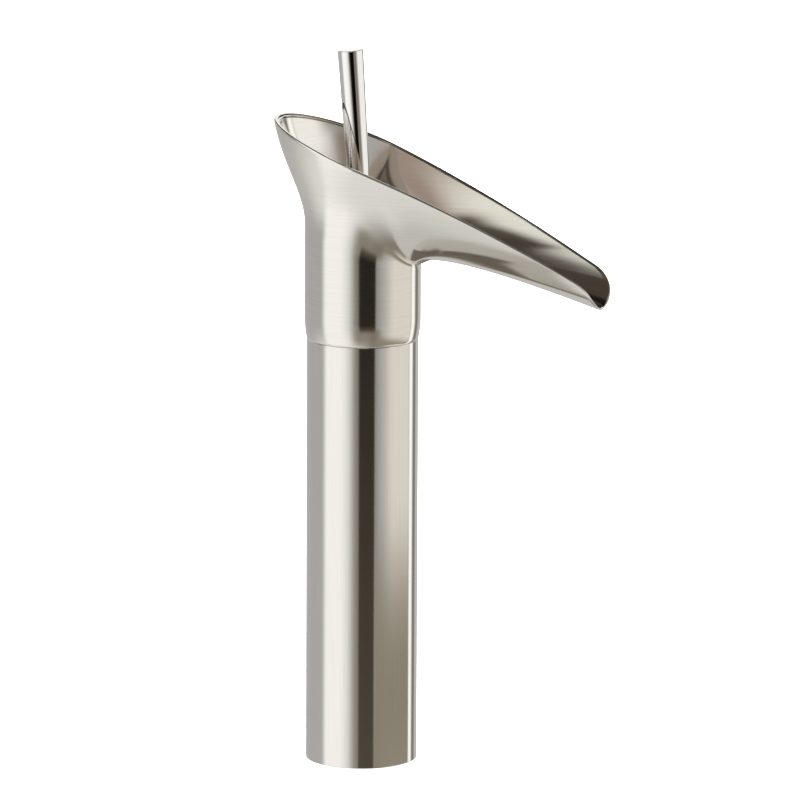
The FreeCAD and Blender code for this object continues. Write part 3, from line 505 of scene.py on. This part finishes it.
def outer_rows(s, turns):
    """Rows up the outside, from the top of the neck's arc to just below the rim, and the
    rim's outer corner."""
    support = 0.998                                 # share of the way to the last row
    controls = shell_controls(s, turns)
    end = rim_crossing(s, controls, turns)
    flare = cubic(controls, np.linspace(0, 1, CURVE_STEPS)[:, None] * end)
    foot = flare[0].copy()
    foot[:, 2] = SEAM + s.neck_round
    rise = np.linspace(0, 1, STRAIGHT_STEPS)[:-1, None, None]
    straight = foot + (flare[0] - foot) * rise
    shares = np.concatenate([np.linspace(0, 1, OUTSIDE_ROWS)[1:-1], [support, 1]])
    return even_rows(np.concatenate([straight, flare]), shares, s.rim_outer), flare[-1]


def inner_rows(s, turns):
    """Rows down the inside, from just below the rim to just above the floor, the rim's inner
    corner, and the corner at the floor."""
    support = 1.3                                   # how much farther from the rim the second row lies
    controls = inset_controls(s, turns)
    end = rim_crossing(s, controls, turns)
    steps = np.linspace(0, 1, CURVE_STEPS)[:, None]
    first = np.argmax(cubic(controls, steps * end)[..., 2] >= FLOOR, axis=0)
    start = crossing(lambda t: cubic(controls, t)[..., 2] < FLOOR, steps[np.maximum(first - 1, 0), 0] * end,
                     steps[first, 0] * end)
    flare = cubic(controls, start + (end - start) * steps[::-1])
    corner = flare[-1].copy()
    corner[:, 2] = FLOOR
    drop = np.linspace(0, 1, STRAIGHT_STEPS)[1:, None, None]
    path = np.concatenate([flare, flare[-1] + (corner - flare[-1]) * drop])
    shares = np.concatenate([[0, 0], np.linspace(0, 1, INSIDE_ROWS)[1:]])
    lower = even_rows(path, shares, s.floor_round)
    # the first rows start below the rim's inner corner
    lower[0] = toward(flare[0], lower[2], s.rim_inner)
    lower[1] = toward(flare[0], lower[2], s.rim_inner * support)
    return lower, flare[0], corner


def floor_rings(s, turns):
    """Rings over the bowl's floor from its corner to the dome, with the water slot sunk in
    front, and down the hidden bore to the cartridge's seat."""
    lip, fall = 0.00025, 0.035                      # support rows beside the slot, turn of its sloping ends
    folded = np.abs((turns + math.pi) % (2 * math.pi) - math.pi)
    sink = np.clip((s.slot_angle - folded) / fall, 0, 1)
    sink = sink * sink * (3 - 2 * sink) * s.slot_depth
    radii = [s.slot_outer + 2 * lip, s.slot_outer + lip, s.slot_outer, s.slot_outer, s.slot_inner,
             s.slot_inner, s.slot_inner - lip / 2]
    sunk = np.array([0, 0, 0.05, 1, 1, 0.05, 0])    # share of the slot's depth at each radius
    over = turned_rings([(radius, FLOOR) for radius in radii], turns)
    over[..., 2] -= sink * sunk[:, None]
    inside = turned_rings([(NUT_RADIUS, FLOOR), (NUT_RADIUS, NUT_FOOT), (CARTRIDGE_RADIUS, NUT_FOOT),
                           (CARTRIDGE_RADIUS, CARTRIDGE_SEAT)], turns)
    return np.concatenate([over, inside])


def head_rings(s):
    """All rings of the head: spigot, neck, flare, rounded rim, bowl, floor and bore."""
    support = 0.08                                  # rows on the rim's flat, beside its rounded edges
    turns = circle(HEAD_COLUMNS)
    outside, outer_corner = outer_rows(s, turns)
    inside, inner_corner, floor_corner = inner_rows(s, turns)
    top_outer = outer_corner + (inner_corner - outer_corner) * s.rim_round
    top_inner = inner_corner + (outer_corner - inner_corner) * s.rim_round
    rim_out = corner_rows(outside[-1], outer_corner, top_outer, EDGE_ROWS)[1:]
    rim_in = corner_rows(top_inner, inner_corner, inside[0], EDGE_ROWS)[:-1]
    across = top_outer + (top_inner - top_outer) * np.array([support, 1 - support])[:, None, None]
    to_slot = floor_corner.copy()
    to_slot[:, :2] *= 0.5
    on_floor = toward(floor_corner, to_slot, s.floor_round)
    floor_round = corner_rows(inside[-1], floor_corner, on_floor, steps=5)[1:]
    return np.concatenate([neck_rings(s, turns), outside, rim_out, across, rim_in, inside, floor_round,
                           floor_rings(s, turns)])


# ---------------------------------------------------------------- finishes
def feed(tree, socket, value):
    """Link another node's output to a socket, or set the socket to a plain value."""
    if isinstance(value, bpy.types.NodeSocket):
        tree.links.new(value, socket)
    else:
        socket.default_value = value


def add_node(tree, kind, inputs=None, **options):
    """Add a shader node, set its options, then feed its inputs by name or number."""
    node = tree.nodes.new("ShaderNode" + kind)
    for option, value in options.items():
        setattr(node, option, value)
    for socket, value in (inputs or {}).items():
        feed(tree, node.inputs[socket], value)
    return node


def maths(tree, operation, *values):
    """Output of a maths node fed with plain numbers or other nodes' outputs."""
    return add_node(tree, "Math", dict(enumerate(values)), operation=operation).outputs[0]


def smooth_step(tree, value, start, end, first=0.0, last=1.0):
    """Output that eases from first to last while the value runs from start to end."""
    inputs = {"Value": value, "From Min": start, "From Max": end, "To Min": first, "To Max": last}
    return add_node(tree, "MapRange", inputs, interpolation_type="SMOOTHSTEP").outputs[0]


def new_group(name, inputs, outputs):
    """Node group with sockets of the given names and types, its inputs and its outputs."""
    group = bpy.data.node_groups.new(name, "ShaderNodeTree")
    for side, sockets in (("INPUT", inputs), ("OUTPUT", outputs)):
        for label, kind in sockets.items():
            group.interface.new_socket(name=label, in_out=side, socket_type="NodeSocket" + kind)
    return group, group.nodes.new("NodeGroupInput").outputs, group.nodes.new("NodeGroupOutput").inputs


def grain_group():
    """Node group: fine grain stretched along chosen axes.  Puts out a mask for colour, a
    roughness, and a height."""
    inputs = {"Stretch": "Vector", "Cloud Scale": "Float", "Roughness": "Float", "Roughness Spread": "Float"}
    outputs = {"Cloud": "Float", "Roughness": "Float", "Height": "Float"}
    group, given, out = new_group("fine_grain", inputs, outputs)
    coords = add_node(group, "TexCoord").outputs["Object"]
    stretched = add_node(group, "VectorMath", {0: coords, 1: given["Stretch"]}, operation="MULTIPLY")
    grain = add_node(group, "TexNoise", {"Vector": stretched.outputs[0], "Scale": 1.0, "Detail": 3.0})
    cloud = add_node(group, "TexNoise", {"Vector": coords, "Scale": given["Cloud Scale"], "Detail": 2.0})
    both = maths(group, "ADD", grain.outputs["Fac"], cloud.outputs["Fac"])
    centred = maths(group, "SUBTRACT", both, 1.0)
    rough = maths(group, "MULTIPLY_ADD", centred, given["Roughness Spread"], given["Roughness"])
    feed(group, out["Cloud"], cloud.outputs["Fac"])
    feed(group, out["Roughness"], rough)
    feed(group, out["Height"], grain.outputs["Fac"])
    return group


def grained(name, group, tones, metallic, roughness, spread, stretch, bump, cloud_scale=40.0, mask="Cloud"):
    """Material with two tones mixed by a mask of the group, grained roughness and a fine bump."""
    material = bpy.data.materials.new("finish_" + name)
    material.use_nodes = True
    tree = material.node_tree
    shader = tree.nodes["Principled BSDF"]
    values = {"Stretch": stretch, "Cloud Scale": cloud_scale, "Roughness": roughness,
              "Roughness Spread": spread}
    grain = add_node(tree, "Group", values, node_tree=group).outputs
    shades = {"Factor": grain[mask], "A": (*tones[0], 1), "B": (*tones[1], 1)}
    mixed = add_node(tree, "Mix", shades, data_type="RGBA")
    bumped = add_node(tree, "Bump", {"Strength": 0.5, "Distance": bump, "Height": grain["Height"]})
    feed(tree, shader.inputs["Base Color"], mixed.outputs["Result"])
    feed(tree, shader.inputs["Metallic"], metallic)
    feed(tree, shader.inputs["Roughness"], grain["Roughness"])
    feed(tree, shader.inputs["Normal"], bumped.outputs["Normal"])


def darker(tone, share):
    """Colour with every channel times a share."""
    return tuple(value * share for value in tone)


def make_finishes(f):
    """Every finish of the faucet, by the name of its material slot in the record, and the
    head's nickel, which is brushed around instead of upright."""
    group = grain_group()
    # how close the grain is along X, Y and Z, per metre
    upright = (2500, 2500, 30)
    brushed = (40, 40, 1100)
    around = (60, 60, 6000)
    even = (900, 900, 900)
    streaks = (f.nickel, f.nickel_deep)
    grained("satin_nickel", group, streaks, 1.0, 0.10, 0.04, upright, 0.000002, mask="Height")
    grained("brushed_nickel", group, streaks, 1.0, 0.10, 0.04, brushed, 0.000003, mask="Height")
    grained("polished_chrome", group, (f.chrome, darker(f.chrome, 0.97)), 1.0, 0.05, 0.02, around, 0.0000005)
    grained("brass", group, (f.brass, darker(f.brass, 0.8)), 1.0, 0.28, 0.12, around, 0.00001)
    grained("copper_tube", group, (f.copper, darker(f.copper, 0.75)), 1.0, 0.32, 0.15, upright, 0.00001)
    grained("stainless_steel", group, (f.steel, darker(f.steel, 0.9)), 1.0, 0.22, 0.10, around, 0.000005)
    grained("rubber", group, (f.rubber, darker(f.rubber, 1.8)), 0.0, 0.62, 0.15, even, 0.00002, 300.0)
    grained("white_plastic", group, (f.plastic, darker(f.plastic, 0.95)), 0.0, 0.42, 0.10, even, 0.00001)
    grained("ceramic", group, (f.ceramic, darker(f.ceramic, 0.96)), 0.0, 0.12, 0.05, even, 0.000002)


def finish(name):
    """Material of a finish, by its name."""
    return bpy.data.materials["finish_" + name]


# ---------------------------------------------------------------- operators
class FAUCET_OT_finishes(bpy.types.Operator):
    """Make the finishes and give each carried-over inner piece its own"""
    bl_idname = "faucet.finishes"
    bl_label = "Finishes"

    def execute(self, context):
        make_finishes(context.scene.faucet_finishes)
        slots = {part["node"]: part["material_slot"] for part in frame["record"]["subparts"]}
        for name, node in frame["nodes"].items():
            node.data.materials.clear()
            node.data.materials.append(finish(slots[name]))
        return {"FINISHED"}


class FAUCET_OT_column(bpy.types.Operator):
    """Add the round column: a tube with lightly bevelled ends"""
    bl_idname = "faucet.column"
    bl_label = "Column"

    def execute(self, context):
        wall, end_zone, rows = 0.0015, 0.002, 12
        inner = COLUMN_RADIUS - wall
        corners = [(inner, 0.0), (COLUMN_RADIUS, 0.0), (COLUMN_RADIUS, SEAM), (inner, SEAM)]
        ends = rounded(corners, context.scene.faucet_head.edge_bevel)
        split = first_above(ends, end_zone)
        middle = [(COLUMN_RADIUS, z) for z in np.linspace(end_zone, SEAM - end_zone, rows)]
        profile = ends[:split] + middle + ends[split:]
        piece = closed_tube("column", turned_rings(profile, circle(SLEEVE_COLUMNS)))
        place(piece, "faucet_body", "satin_nickel", finish("satin_nickel"), "column_sleeve")
        return {"FINISHED"}


class FAUCET_OT_head(bpy.types.Operator):
    """Add the flared head: neck, bowl and open trough spout"""
    bl_idname = "faucet.head"
    bl_label = "Flared head"

    def execute(self, context):
        rings = head_rings(context.scene.faucet_head)
        piece = ring_piece("head", rings, (0, 0, SPIGOT_FOOT), (0, 0, CARTRIDGE_SEAT))
        place(piece, "faucet_body", "satin_nickel", finish("brushed_nickel"), "head_casting")
        return {"FINISHED"}


def lean_mesh(piece, h):
    """Turn a joystick piece about the hinge pin to the handle's lean at rest."""
    turn = Matrix.Rotation(-h.lean, 4, "Y")
    pivot = Matrix.Translation((0, 0, PIVOT))
    piece.data.transform(pivot @ turn @ pivot.inverted())


class FAUCET_OT_handle(bpy.types.Operator):
    """Add the tapered handle, its grub screw and the steel stem"""
    bl_idname = "faucet.handle"
    bl_label = "Joystick handle"

    def execute(self, context):
        h = context.scene.faucet_handle
        foot = PIVOT + h.start
        rod = handle_rod(h, foot)
        lean_mesh(rod, h)
        place(rod, "lever", "polished_chrome", finish("polished_chrome"), "handle_rod")
        screw = grub_screw(h, foot)
        lean_mesh(screw, h)
        place(screw, "lever", "stainless_steel", finish("stainless_steel"), "handle_grub_screw")
        stem = turned_piece("stem", stem_profile(h), STEM_COLUMNS)
        lean_mesh(stem, h)
        place(stem, "lever", "stainless_steel", finish("stainless_steel"), "joystick_stem")
        return {"FINISHED"}


def handle_rod(h, foot):
    """Tapered rod with rounded edges, its rows close together round the screw's hole."""
    edge_zone, end_zone, screw_zone, close = 0.003, 0.002, 0.010, 0.00015
    gap, rows = 0.0005, 40                          # first step above the screw's rows, rows from there up
    top = foot + h.rod_length
    outline = [(0, foot), (h.foot_radius, foot), (h.top_radius, top), (0, top)]
    corners = rounded(outline, h.top_bevel, steps=6)
    split = first_above(corners, foot + edge_zone)
    heights = np.concatenate([np.arange(foot + end_zone, foot + screw_zone, close),
                              np.linspace(foot + screw_zone + gap, top - end_zone, rows)])
    radii = h.foot_radius + (h.top_radius - h.foot_radius) * (heights - foot) / h.rod_length
    profile = corners[:split] + list(zip(radii, heights)) + corners[split:]
    rings = turned_rings(profile[1:-1], circle(ROUND_COLUMNS))
    sink_screw_hole(rings, h, foot)
    return ring_piece("handle", rings, (0, 0, foot), (0, 0, top))


def sink_screw_hole(rings, h, foot):
    """Push the rod's points inside the screw's circle, on its back, in past the screw's face."""
    rim, past = 0.0001, 0.0006
    across = np.hypot(rings[..., 1], rings[..., 2] - foot - h.screw_height)
    behind = rings[..., 0] < 0
    depth = np.clip((h.screw_radius + rim - across) / rim, 0, 1) * behind
    rings[..., 0] += depth * (h.screw_sink + past)


def grub_screw(h, foot):
    """Screw face with a hexagon socket, facing back: a disc of rings whose inner points,
    within the hexagon's flats, are sunk."""
    body, edge, depth = 0.0012, 0.0001, 0.0008      # length, bevel, and depth of the socket
    turns = circle(SCREW_COLUMNS)
    flat = h.screw_socket / 2
    hexagon = flat / np.cos((turns + math.pi / 6) % (math.pi / 3) - math.pi / 6)
    radius = h.screw_radius
    height = foot + h.screw_height
    surface = h.foot_radius + (h.top_radius - h.foot_radius) * h.screw_height / h.rod_length
    face = -surface + h.screw_sink
    rows = [(radius, body), (radius, edge), (radius - edge, 0), (hexagon + edge / 2, 0),
            (hexagon, edge / 2), (hexagon, depth)]
    rings = [np.stack([face + sunk + 0 * turns, -r * np.cos(turns), height + r * np.sin(turns)], axis=-1)
             for r, sunk in rows]
    return ring_piece("grub_screw", np.array(rings), (face + body, 0, height), (face + depth, 0, height))


def stem_profile(h):
    """Outline of the stem: a ball, a waist that widens in a cone, and the straight rod."""
    # the cone's top below the pin, its length, and the stem's reach up the handle
    below_pin, cone_length, in_handle = 0.008, 0.004, 0.0135
    support, ball_rows = 0.0002, 16
    centre = PIVOT - h.ball_drop
    up = np.linspace(-math.pi / 2, math.acos(h.neck_radius / h.ball_radius), ball_rows)
    ball = [(h.ball_radius * math.cos(a), centre + h.ball_radius * math.sin(a)) for a in up]
    ball[0] = (0, ball[0][1])
    wide = PIVOT - below_pin
    top = PIVOT + h.start + in_handle
    return ball + [(h.neck_radius, wide - cone_length), (h.stem_radius, wide),
                   (h.stem_radius, wide + support), (h.stem_radius, top - support), (h.stem_radius, top),
                   (0, top)]


class FAUCET_OT_dome(bpy.types.Operator):
    """Add the polished dome over the retaining nut"""
    bl_idname = "faucet.dome"
    bl_label = "Trim dome"

    def execute(self, context):
        opening, collar, wall, edge, play = 0.008, 0.0015, 0.0011, 0.0001, 0.00005
        foot = FLOOR + collar
        rise = DOME_TOP - foot
        bore = NUT_RADIUS + play
        outline = [(DOME_RADIUS - edge, FLOOR), (DOME_RADIUS, FLOOR + edge)]
        outline += cap_rows(DOME_RADIUS, opening, foot, rise) + [(opening, DOME_TOP - edge)]
        outline += cap_rows(bore, opening, foot, rise - wall)[::-1] + [(bore, FLOOR)]
        piece = closed_tube("dome", turned_rings(outline, circle(ROUND_COLUMNS)))
        place(piece, "faucet_body", "polished_chrome", finish("polished_chrome"), "trim_dome")
        return {"FINISHED"}


def cap_rows(radius, opening, foot, rise, rows=24):
    """Arc of a sphere's outline from the skirt up to the opening."""
    drop = (radius ** 2 - opening ** 2 - rise ** 2) / (2 * rise)
    sphere = math.hypot(radius, drop)
    low, high = math.asin(radius / sphere), math.asin(opening / sphere)
    around = np.linspace(low, high, rows)
    return [(sphere * math.sin(a), foot - drop + sphere * math.cos(a)) for a in around]


class FAUCET_OT_stage(bpy.types.Operator):
    """Add the floor, the studio light and the camera"""
    bl_idname = "faucet.stage"
    bl_label = "Stage"

    def execute(self, context):
        stage = context.scene.faucet_stage
        add_floor(stage)
        add_studio(stage)
        add_low_veil(stage)
        add_soft_light(stage)
        add_camera(context.scene, stage)
        context.scene.view_settings.view_transform = "Standard"
        return {"FINISHED"}


def add_floor(stage):
    """Round pale floor just under the faucet; the metal's reflections pass it and see the
    studio instead."""
    drop, columns = 0.00002, 96
    rings = turned_rings([(stage.floor_radius, -drop), (stage.floor_radius / 2, -drop)], circle(columns))
    points = np.concatenate([rings.reshape(-1, 3), [[0, 0, -drop]]])
    index = np.arange(2 * columns).reshape(2, columns)
    beside = np.roll(index, -1, axis=1)
    middle = np.stack([index[1], beside[1], np.full(columns, 2 * columns)], axis=-1)
    floor = make_mesh("floor", points, quads_between(index, beside), middle)
    material = bpy.data.materials.new("pale_floor")
    material.use_nodes = True
    shader = material.node_tree.nodes["Principled BSDF"]
    shader.inputs["Base Color"].default_value = (0.93, 0.93, 0.93, 1)
    shader.inputs["Roughness"].default_value = 0.9
    floor.data.materials.append(material)
    floor.visible_glossy = False


def add_low_veil(stage):
    """Curved veil on the right, near the column and seen by its metal only: it shades the
    lower the column, the more, like a table close by."""
    left, right = 28, 112                           # degrees from the camera's direction, to the right
    radius, foot, top, wall, columns = 0.5, -0.14, 0.06, 0.002, 57
    # the shade is densest up to a rise above the foot, and gone from a drop below the top
    densest, full_rise, clear_drop = 0.97, 0.05, 0.04
    turns = stage.camera_azimuth + np.radians(np.linspace(left, right, columns) - 90)
    rings = turned_rings(((radius, foot), (radius + wall, foot), (radius + wall, top), (radius, top)), turns)
    index = np.arange(rings[..., 0].size).reshape(len(rings), len(turns))
    around = np.concatenate([index, index[:1]])
    ends = np.array([index[::-1, 0], index[:, -1]])
    quads = np.concatenate([quads_between(around[:, :-1], around[:, 1:]), ends])
    veil = make_mesh("low_veil", rings.reshape(-1, 3), quads, np.zeros((0, 3), dtype=int))
    material = bpy.data.materials.new("veil")
    material.use_nodes = True
    tree = material.node_tree
    tree.nodes.clear()
    axes = add_node(tree, "SeparateXYZ", {0: add_node(tree, "TexCoord").outputs["Object"]})
    share = smooth_step(tree, axes.outputs["Z"], foot + full_rise, top - clear_drop, densest, 0.0)
    clear = add_node(tree, "BsdfTransparent")
    tone = add_node(tree, "Emission", {"Color": (0.30, 0.275, 0.215, 1)})
    mixed = add_node(tree, "MixShader", {0: share, 1: clear.outputs[0], 2: tone.outputs[0]})
    add_node(tree, "OutputMaterial", {"Surface": mixed.outputs[0]})
    veil.data.materials.append(material)
    veil.visible_camera = False
    veil.visible_diffuse = False
    veil.visible_shadow = False


def panel_group():
    """Node group: lays one soft-edged panel over a panorama.  Angles are in degrees."""
    numbers = ("Azimuth", "Elevation", "Centre", "Half Width", "Soft Left", "Soft Right", "Bottom", "Top",
               "Soft Bottom", "Soft Top")
    inputs = {"Under": "Color", "Tone": "Color"} | dict.fromkeys(numbers, "Float")
    group, given, out = new_group("studio_panel", inputs, {"Colour": "Color"})

    def edge(distance, soft):
        """Smooth step over the soft width, centred where the distance is zero."""
        half = maths(group, "MAXIMUM", maths(group, "MULTIPLY", soft, 0.5), 0.01)
        return smooth_step(group, distance, maths(group, "MULTIPLY", half, -1.0), half)

    def between(low, soft_low, high, soft_high):
        return maths(group, "MULTIPLY", edge(low, given[soft_low]), edge(high, given[soft_high]))

    turned = maths(group, "WRAP", maths(group, "SUBTRACT", given["Azimuth"], given["Centre"]), 180.0, -180.0)
    from_left = maths(group, "ADD", turned, given["Half Width"])
    from_right = maths(group, "SUBTRACT", given["Half Width"], turned)
    from_bottom = maths(group, "SUBTRACT", given["Elevation"], given["Bottom"])
    from_top = maths(group, "SUBTRACT", given["Top"], given["Elevation"])
    across = between(from_left, "Soft Left", from_right, "Soft Right")
    upright = between(from_bottom, "Soft Bottom", from_top, "Soft Top")
    shades = {"Factor": maths(group, "MULTIPLY", across, upright), "A": given["Under"], "B": given["Tone"]}
    feed(group, out["Colour"], add_node(group, "Mix", shades, data_type="RGBA").outputs["Result"])
    return group


UNDER_PANELS = (0.48, 0.475, 0.47, 1)               # the studio's tone where no panel lies

# Studio behind the camera's back and around the faucet.  Azimuth is counted from the direction
# of the camera, to the right: left and right edge with their softness, then bottom and top.
PANELS = (
    ("deck", (-180, 180, 0, 0), (-100, -24, 1, 24), (0.63, 0.62, 0.59)),
    ("deck on the left", (-110, -22, 40, 44), (-66, -24, 14, 24), (0.84, 0.84, 0.81)),
    ("deck on the right", (5, 78, 50, 20), (-58, -24, 6, 20), (0.27, 0.245, 0.20)),
    ("shade behind the deck", (100, 234, 24, 12), (-100, -56, 1, 5), (0.17, 0.15, 0.125)),
    ("ceiling", (-180, 180, 0, 0), (60, 120, 14, 1), (0.085, 0.068, 0.052)),
    ("stand at the left rear", (-190, -94, 20, 10), (-8, 6, 6, 2), (0.20, 0.195, 0.19)),
    ("table behind", (142, 200, 8, 20), (-40, 4, 14, 4), (0.58, 0.57, 0.55)),
    ("backdrop", (120, 255, 30, 20), (3, 60, 5, 1), (1.05, 1.04, 1.02)),
    ("room behind the backdrop", (100, 262, 30, 20), (22, 95, 5, 1), (0.03, 0.026, 0.021)),
    ("post behind", (148, 168, 8, 2), (12, 95, 6, 1), (0.010, 0.009, 0.008)),
    ("wall on the right", (50, 145, 40, 20), (20, 60, 12, 20), (0.40, 0.34, 0.28)),
    ("wall at the rear", (172, 200, 6, 10), (22, 60, 8, 20), (0.25, 0.20, 0.155)),
    ("room on the right", (8, 190, 10, 30), (46, 120, 16, 1), (0.070, 0.056, 0.044)),
    ("left soft box", (-84, -27, 16, 44), (-44, 34, 30, 16), (1.12, 1.11, 1.09)),
    ("wall in front", (-46, -2, 24, 24), (30, 62, 12, 8), (0.38, 0.30, 0.25)),
    ("overhead soft box", (-22, 13.4, 26, 2), (45, 62, 24, 8), (0.93, 0.92, 0.85)),
    ("end of the overhead soft box", (-7, 13.4, 12, 2), (52, 67, 10, 7), (0.93, 0.92, 0.85)),
    ("right soft box", (52, 112, 34, 8), (-46, 0, 24, 6), (0.84, 0.80, 0.735)),
    ("upper right soft box", (52, 112, 42, 10), (-8, 24, 6, 12), (1.05, 1.03, 1.00)),
    ("shade round the lens", (-18, 31, 22, 20), (-30, 17, 12, 14), (0.29, 0.265, 0.225)),
    ("shade on the right", (14, 34, 14, 20), (-30, -15, 12, 4), (0.25, 0.22, 0.175)),
    ("wall above the lens", (14, 44, 10, 20), (16, 44, 6, 20), (0.28, 0.235, 0.19)),
    ("shade beside the lens", (18, 54, 8, 26), (-9, 14, 4, 8), (0.22, 0.195, 0.165)),
    ("gap at the lens", (-6, 25.5, 2, 2), (-17, 14, 5, 12), (0.080, 0.067, 0.049)),
    ("lens", (-8, 25.5, 4, 3), (-12.3, 12, 6, 8), (0.004, 0.003, 0.003)),
    ("lens hood", (-16, 0, 6, 4), (-10, 12, 2, 8), (0.012, 0.010, 0.008)),
    ("strip light", (114, 126, 4, 5), (-40, 14, 10, 6), (1.20, 1.18, 1.14)),
    ("dark stand", (129, 142, 4, 6), (-40, 14, 10, 6), (0.24, 0.23, 0.21)),
)


def add_studio(stage):
    """World of soft-edged panels that the metal reflects; the camera itself sees plain white."""
    world = bpy.data.worlds.new("studio")
    bpy.context.scene.world = world
    world.use_nodes = True
    tree = world.node_tree
    tree.nodes.clear()
    direction = {"Vector": add_node(tree, "TexCoord").outputs["Generated"], "Angle": -stage.camera_azimuth}
    turned = add_node(tree, "VectorRotate", direction, rotation_type="Z_AXIS")
    axes = add_node(tree, "SeparateXYZ", {0: turned.outputs[0]}).outputs
    toward_camera = maths(tree, "MULTIPLY", axes["Y"], -1.0)
    azimuth = maths(tree, "DEGREES", maths(tree, "ARCTAN2", axes["X"], toward_camera))
    elevation = maths(tree, "DEGREES", maths(tree, "ARCSINE", axes["Z"]))
    group = panel_group()
    colour = UNDER_PANELS
    for name, (left, right, soft_left, soft_right), (bottom, top, soft_bottom, soft_top), tone in PANELS:
        values = {"Under": colour, "Tone": (*tone, 1), "Azimuth": azimuth, "Elevation": elevation,
                  "Centre": (left + right) / 2, "Half Width": (right - left) / 2, "Soft Left": soft_left,
                  "Soft Right": soft_right, "Bottom": bottom, "Top": top, "Soft Bottom": soft_bottom,
                  "Soft Top": soft_top}
        colour = add_node(tree, "Group", values, node_tree=group, label=name).outputs["Colour"]
    reflected = add_node(tree, "Background", {"Color": colour})
    seen = add_node(tree, "Background", {"Color": (1, 1, 1, 1)})
    by_camera = add_node(tree, "LightPath").outputs["Is Camera Ray"]
    mixed = add_node(tree, "MixShader", {0: by_camera, 1: reflected.outputs[0], 2: seen.outputs[0]})
    add_node(tree, "OutputWorld", {"Surface": mixed.outputs[0]})


def add_soft_light(stage):
    """Square area light above the faucet, facing down.  The metal doesn't reflect it."""
    data = bpy.data.lights.new("overhead_light", "AREA")
    data.energy = stage.light_power
    data.size = stage.light_size
    light = bpy.data.objects.new("overhead_light", data)
    light.location = (0.0, 0.0, stage.light_height)
    light.visible_glossy = False
    bpy.context.scene.collection.objects.link(light)


def add_camera(scene, stage):
    """Camera at the photo's angle: level position round the axis, then pitch and roll."""
    a, pitch, roll = stage.camera_azimuth, stage.camera_pitch, stage.camera_roll
    side, away = stage.camera_offset, -stage.camera_distance
    position = Vector((side * math.cos(a) - away * math.sin(a),
                       side * math.sin(a) + away * math.cos(a), stage.camera_height))
    upward = Matrix.Rotation(math.pi / 2 - pitch, 4, "X")
    turn = Matrix.Rotation(a, 4, "Z") @ upward @ Matrix.Rotation(roll, 4, "Z")
    data = bpy.data.cameras.new("camera")
    data.lens = stage.lens
    data.sensor_width = 36.0
    camera = bpy.data.objects.new("camera", data)
    camera.matrix_world = Matrix.Translation(position) @ turn
    scene.collection.objects.link(camera)
    scene.camera = camera


# ---------------------------------------------------------------- panel and registration
class FAUCET_PT_pieces(bpy.types.Panel):
    """Buttons for the pieces of the faucet"""
    bl_idname = "FAUCET_PT_pieces"
    bl_label = "Basin faucet"
    bl_space_type = "VIEW_3D"
    bl_region_type = "UI"
    bl_category = "Faucet"

    def draw(self, context):
        for operator in OPERATORS:
            self.layout.operator(operator.bl_idname)


GROUPS = {"faucet_head": FaucetHeadSizes, "faucet_handle": FaucetHandleSizes,
          "faucet_finishes": FaucetFinishes, "faucet_stage": FaucetStage}
OPERATORS = (FAUCET_OT_finishes, FAUCET_OT_column, FAUCET_OT_head, FAUCET_OT_handle, FAUCET_OT_dome,
             FAUCET_OT_stage)


def register():
    for name, group in GROUPS.items():
        bpy.utils.register_class(group)
        setattr(bpy.types.Scene, name, PointerProperty(type=group))
    for operator in OPERATORS:
        bpy.utils.register_class(operator)
    bpy.utils.register_class(FAUCET_PT_pieces)


def unregister():
    bpy.utils.unregister_class(FAUCET_PT_pieces)
    for operator in reversed(OPERATORS):
        bpy.utils.unregister_class(operator)
    for name, group in GROUPS.items():
        delattr(bpy.types.Scene, name)
        bpy.utils.unregister_class(group)


def main():
    """Make every piece in order."""
    register()
    for operator in OPERATORS:
        group, name = operator.bl_idname.split(".")
        getattr(getattr(bpy.ops, group), name)()


if __name__ == "__main__":
    main()
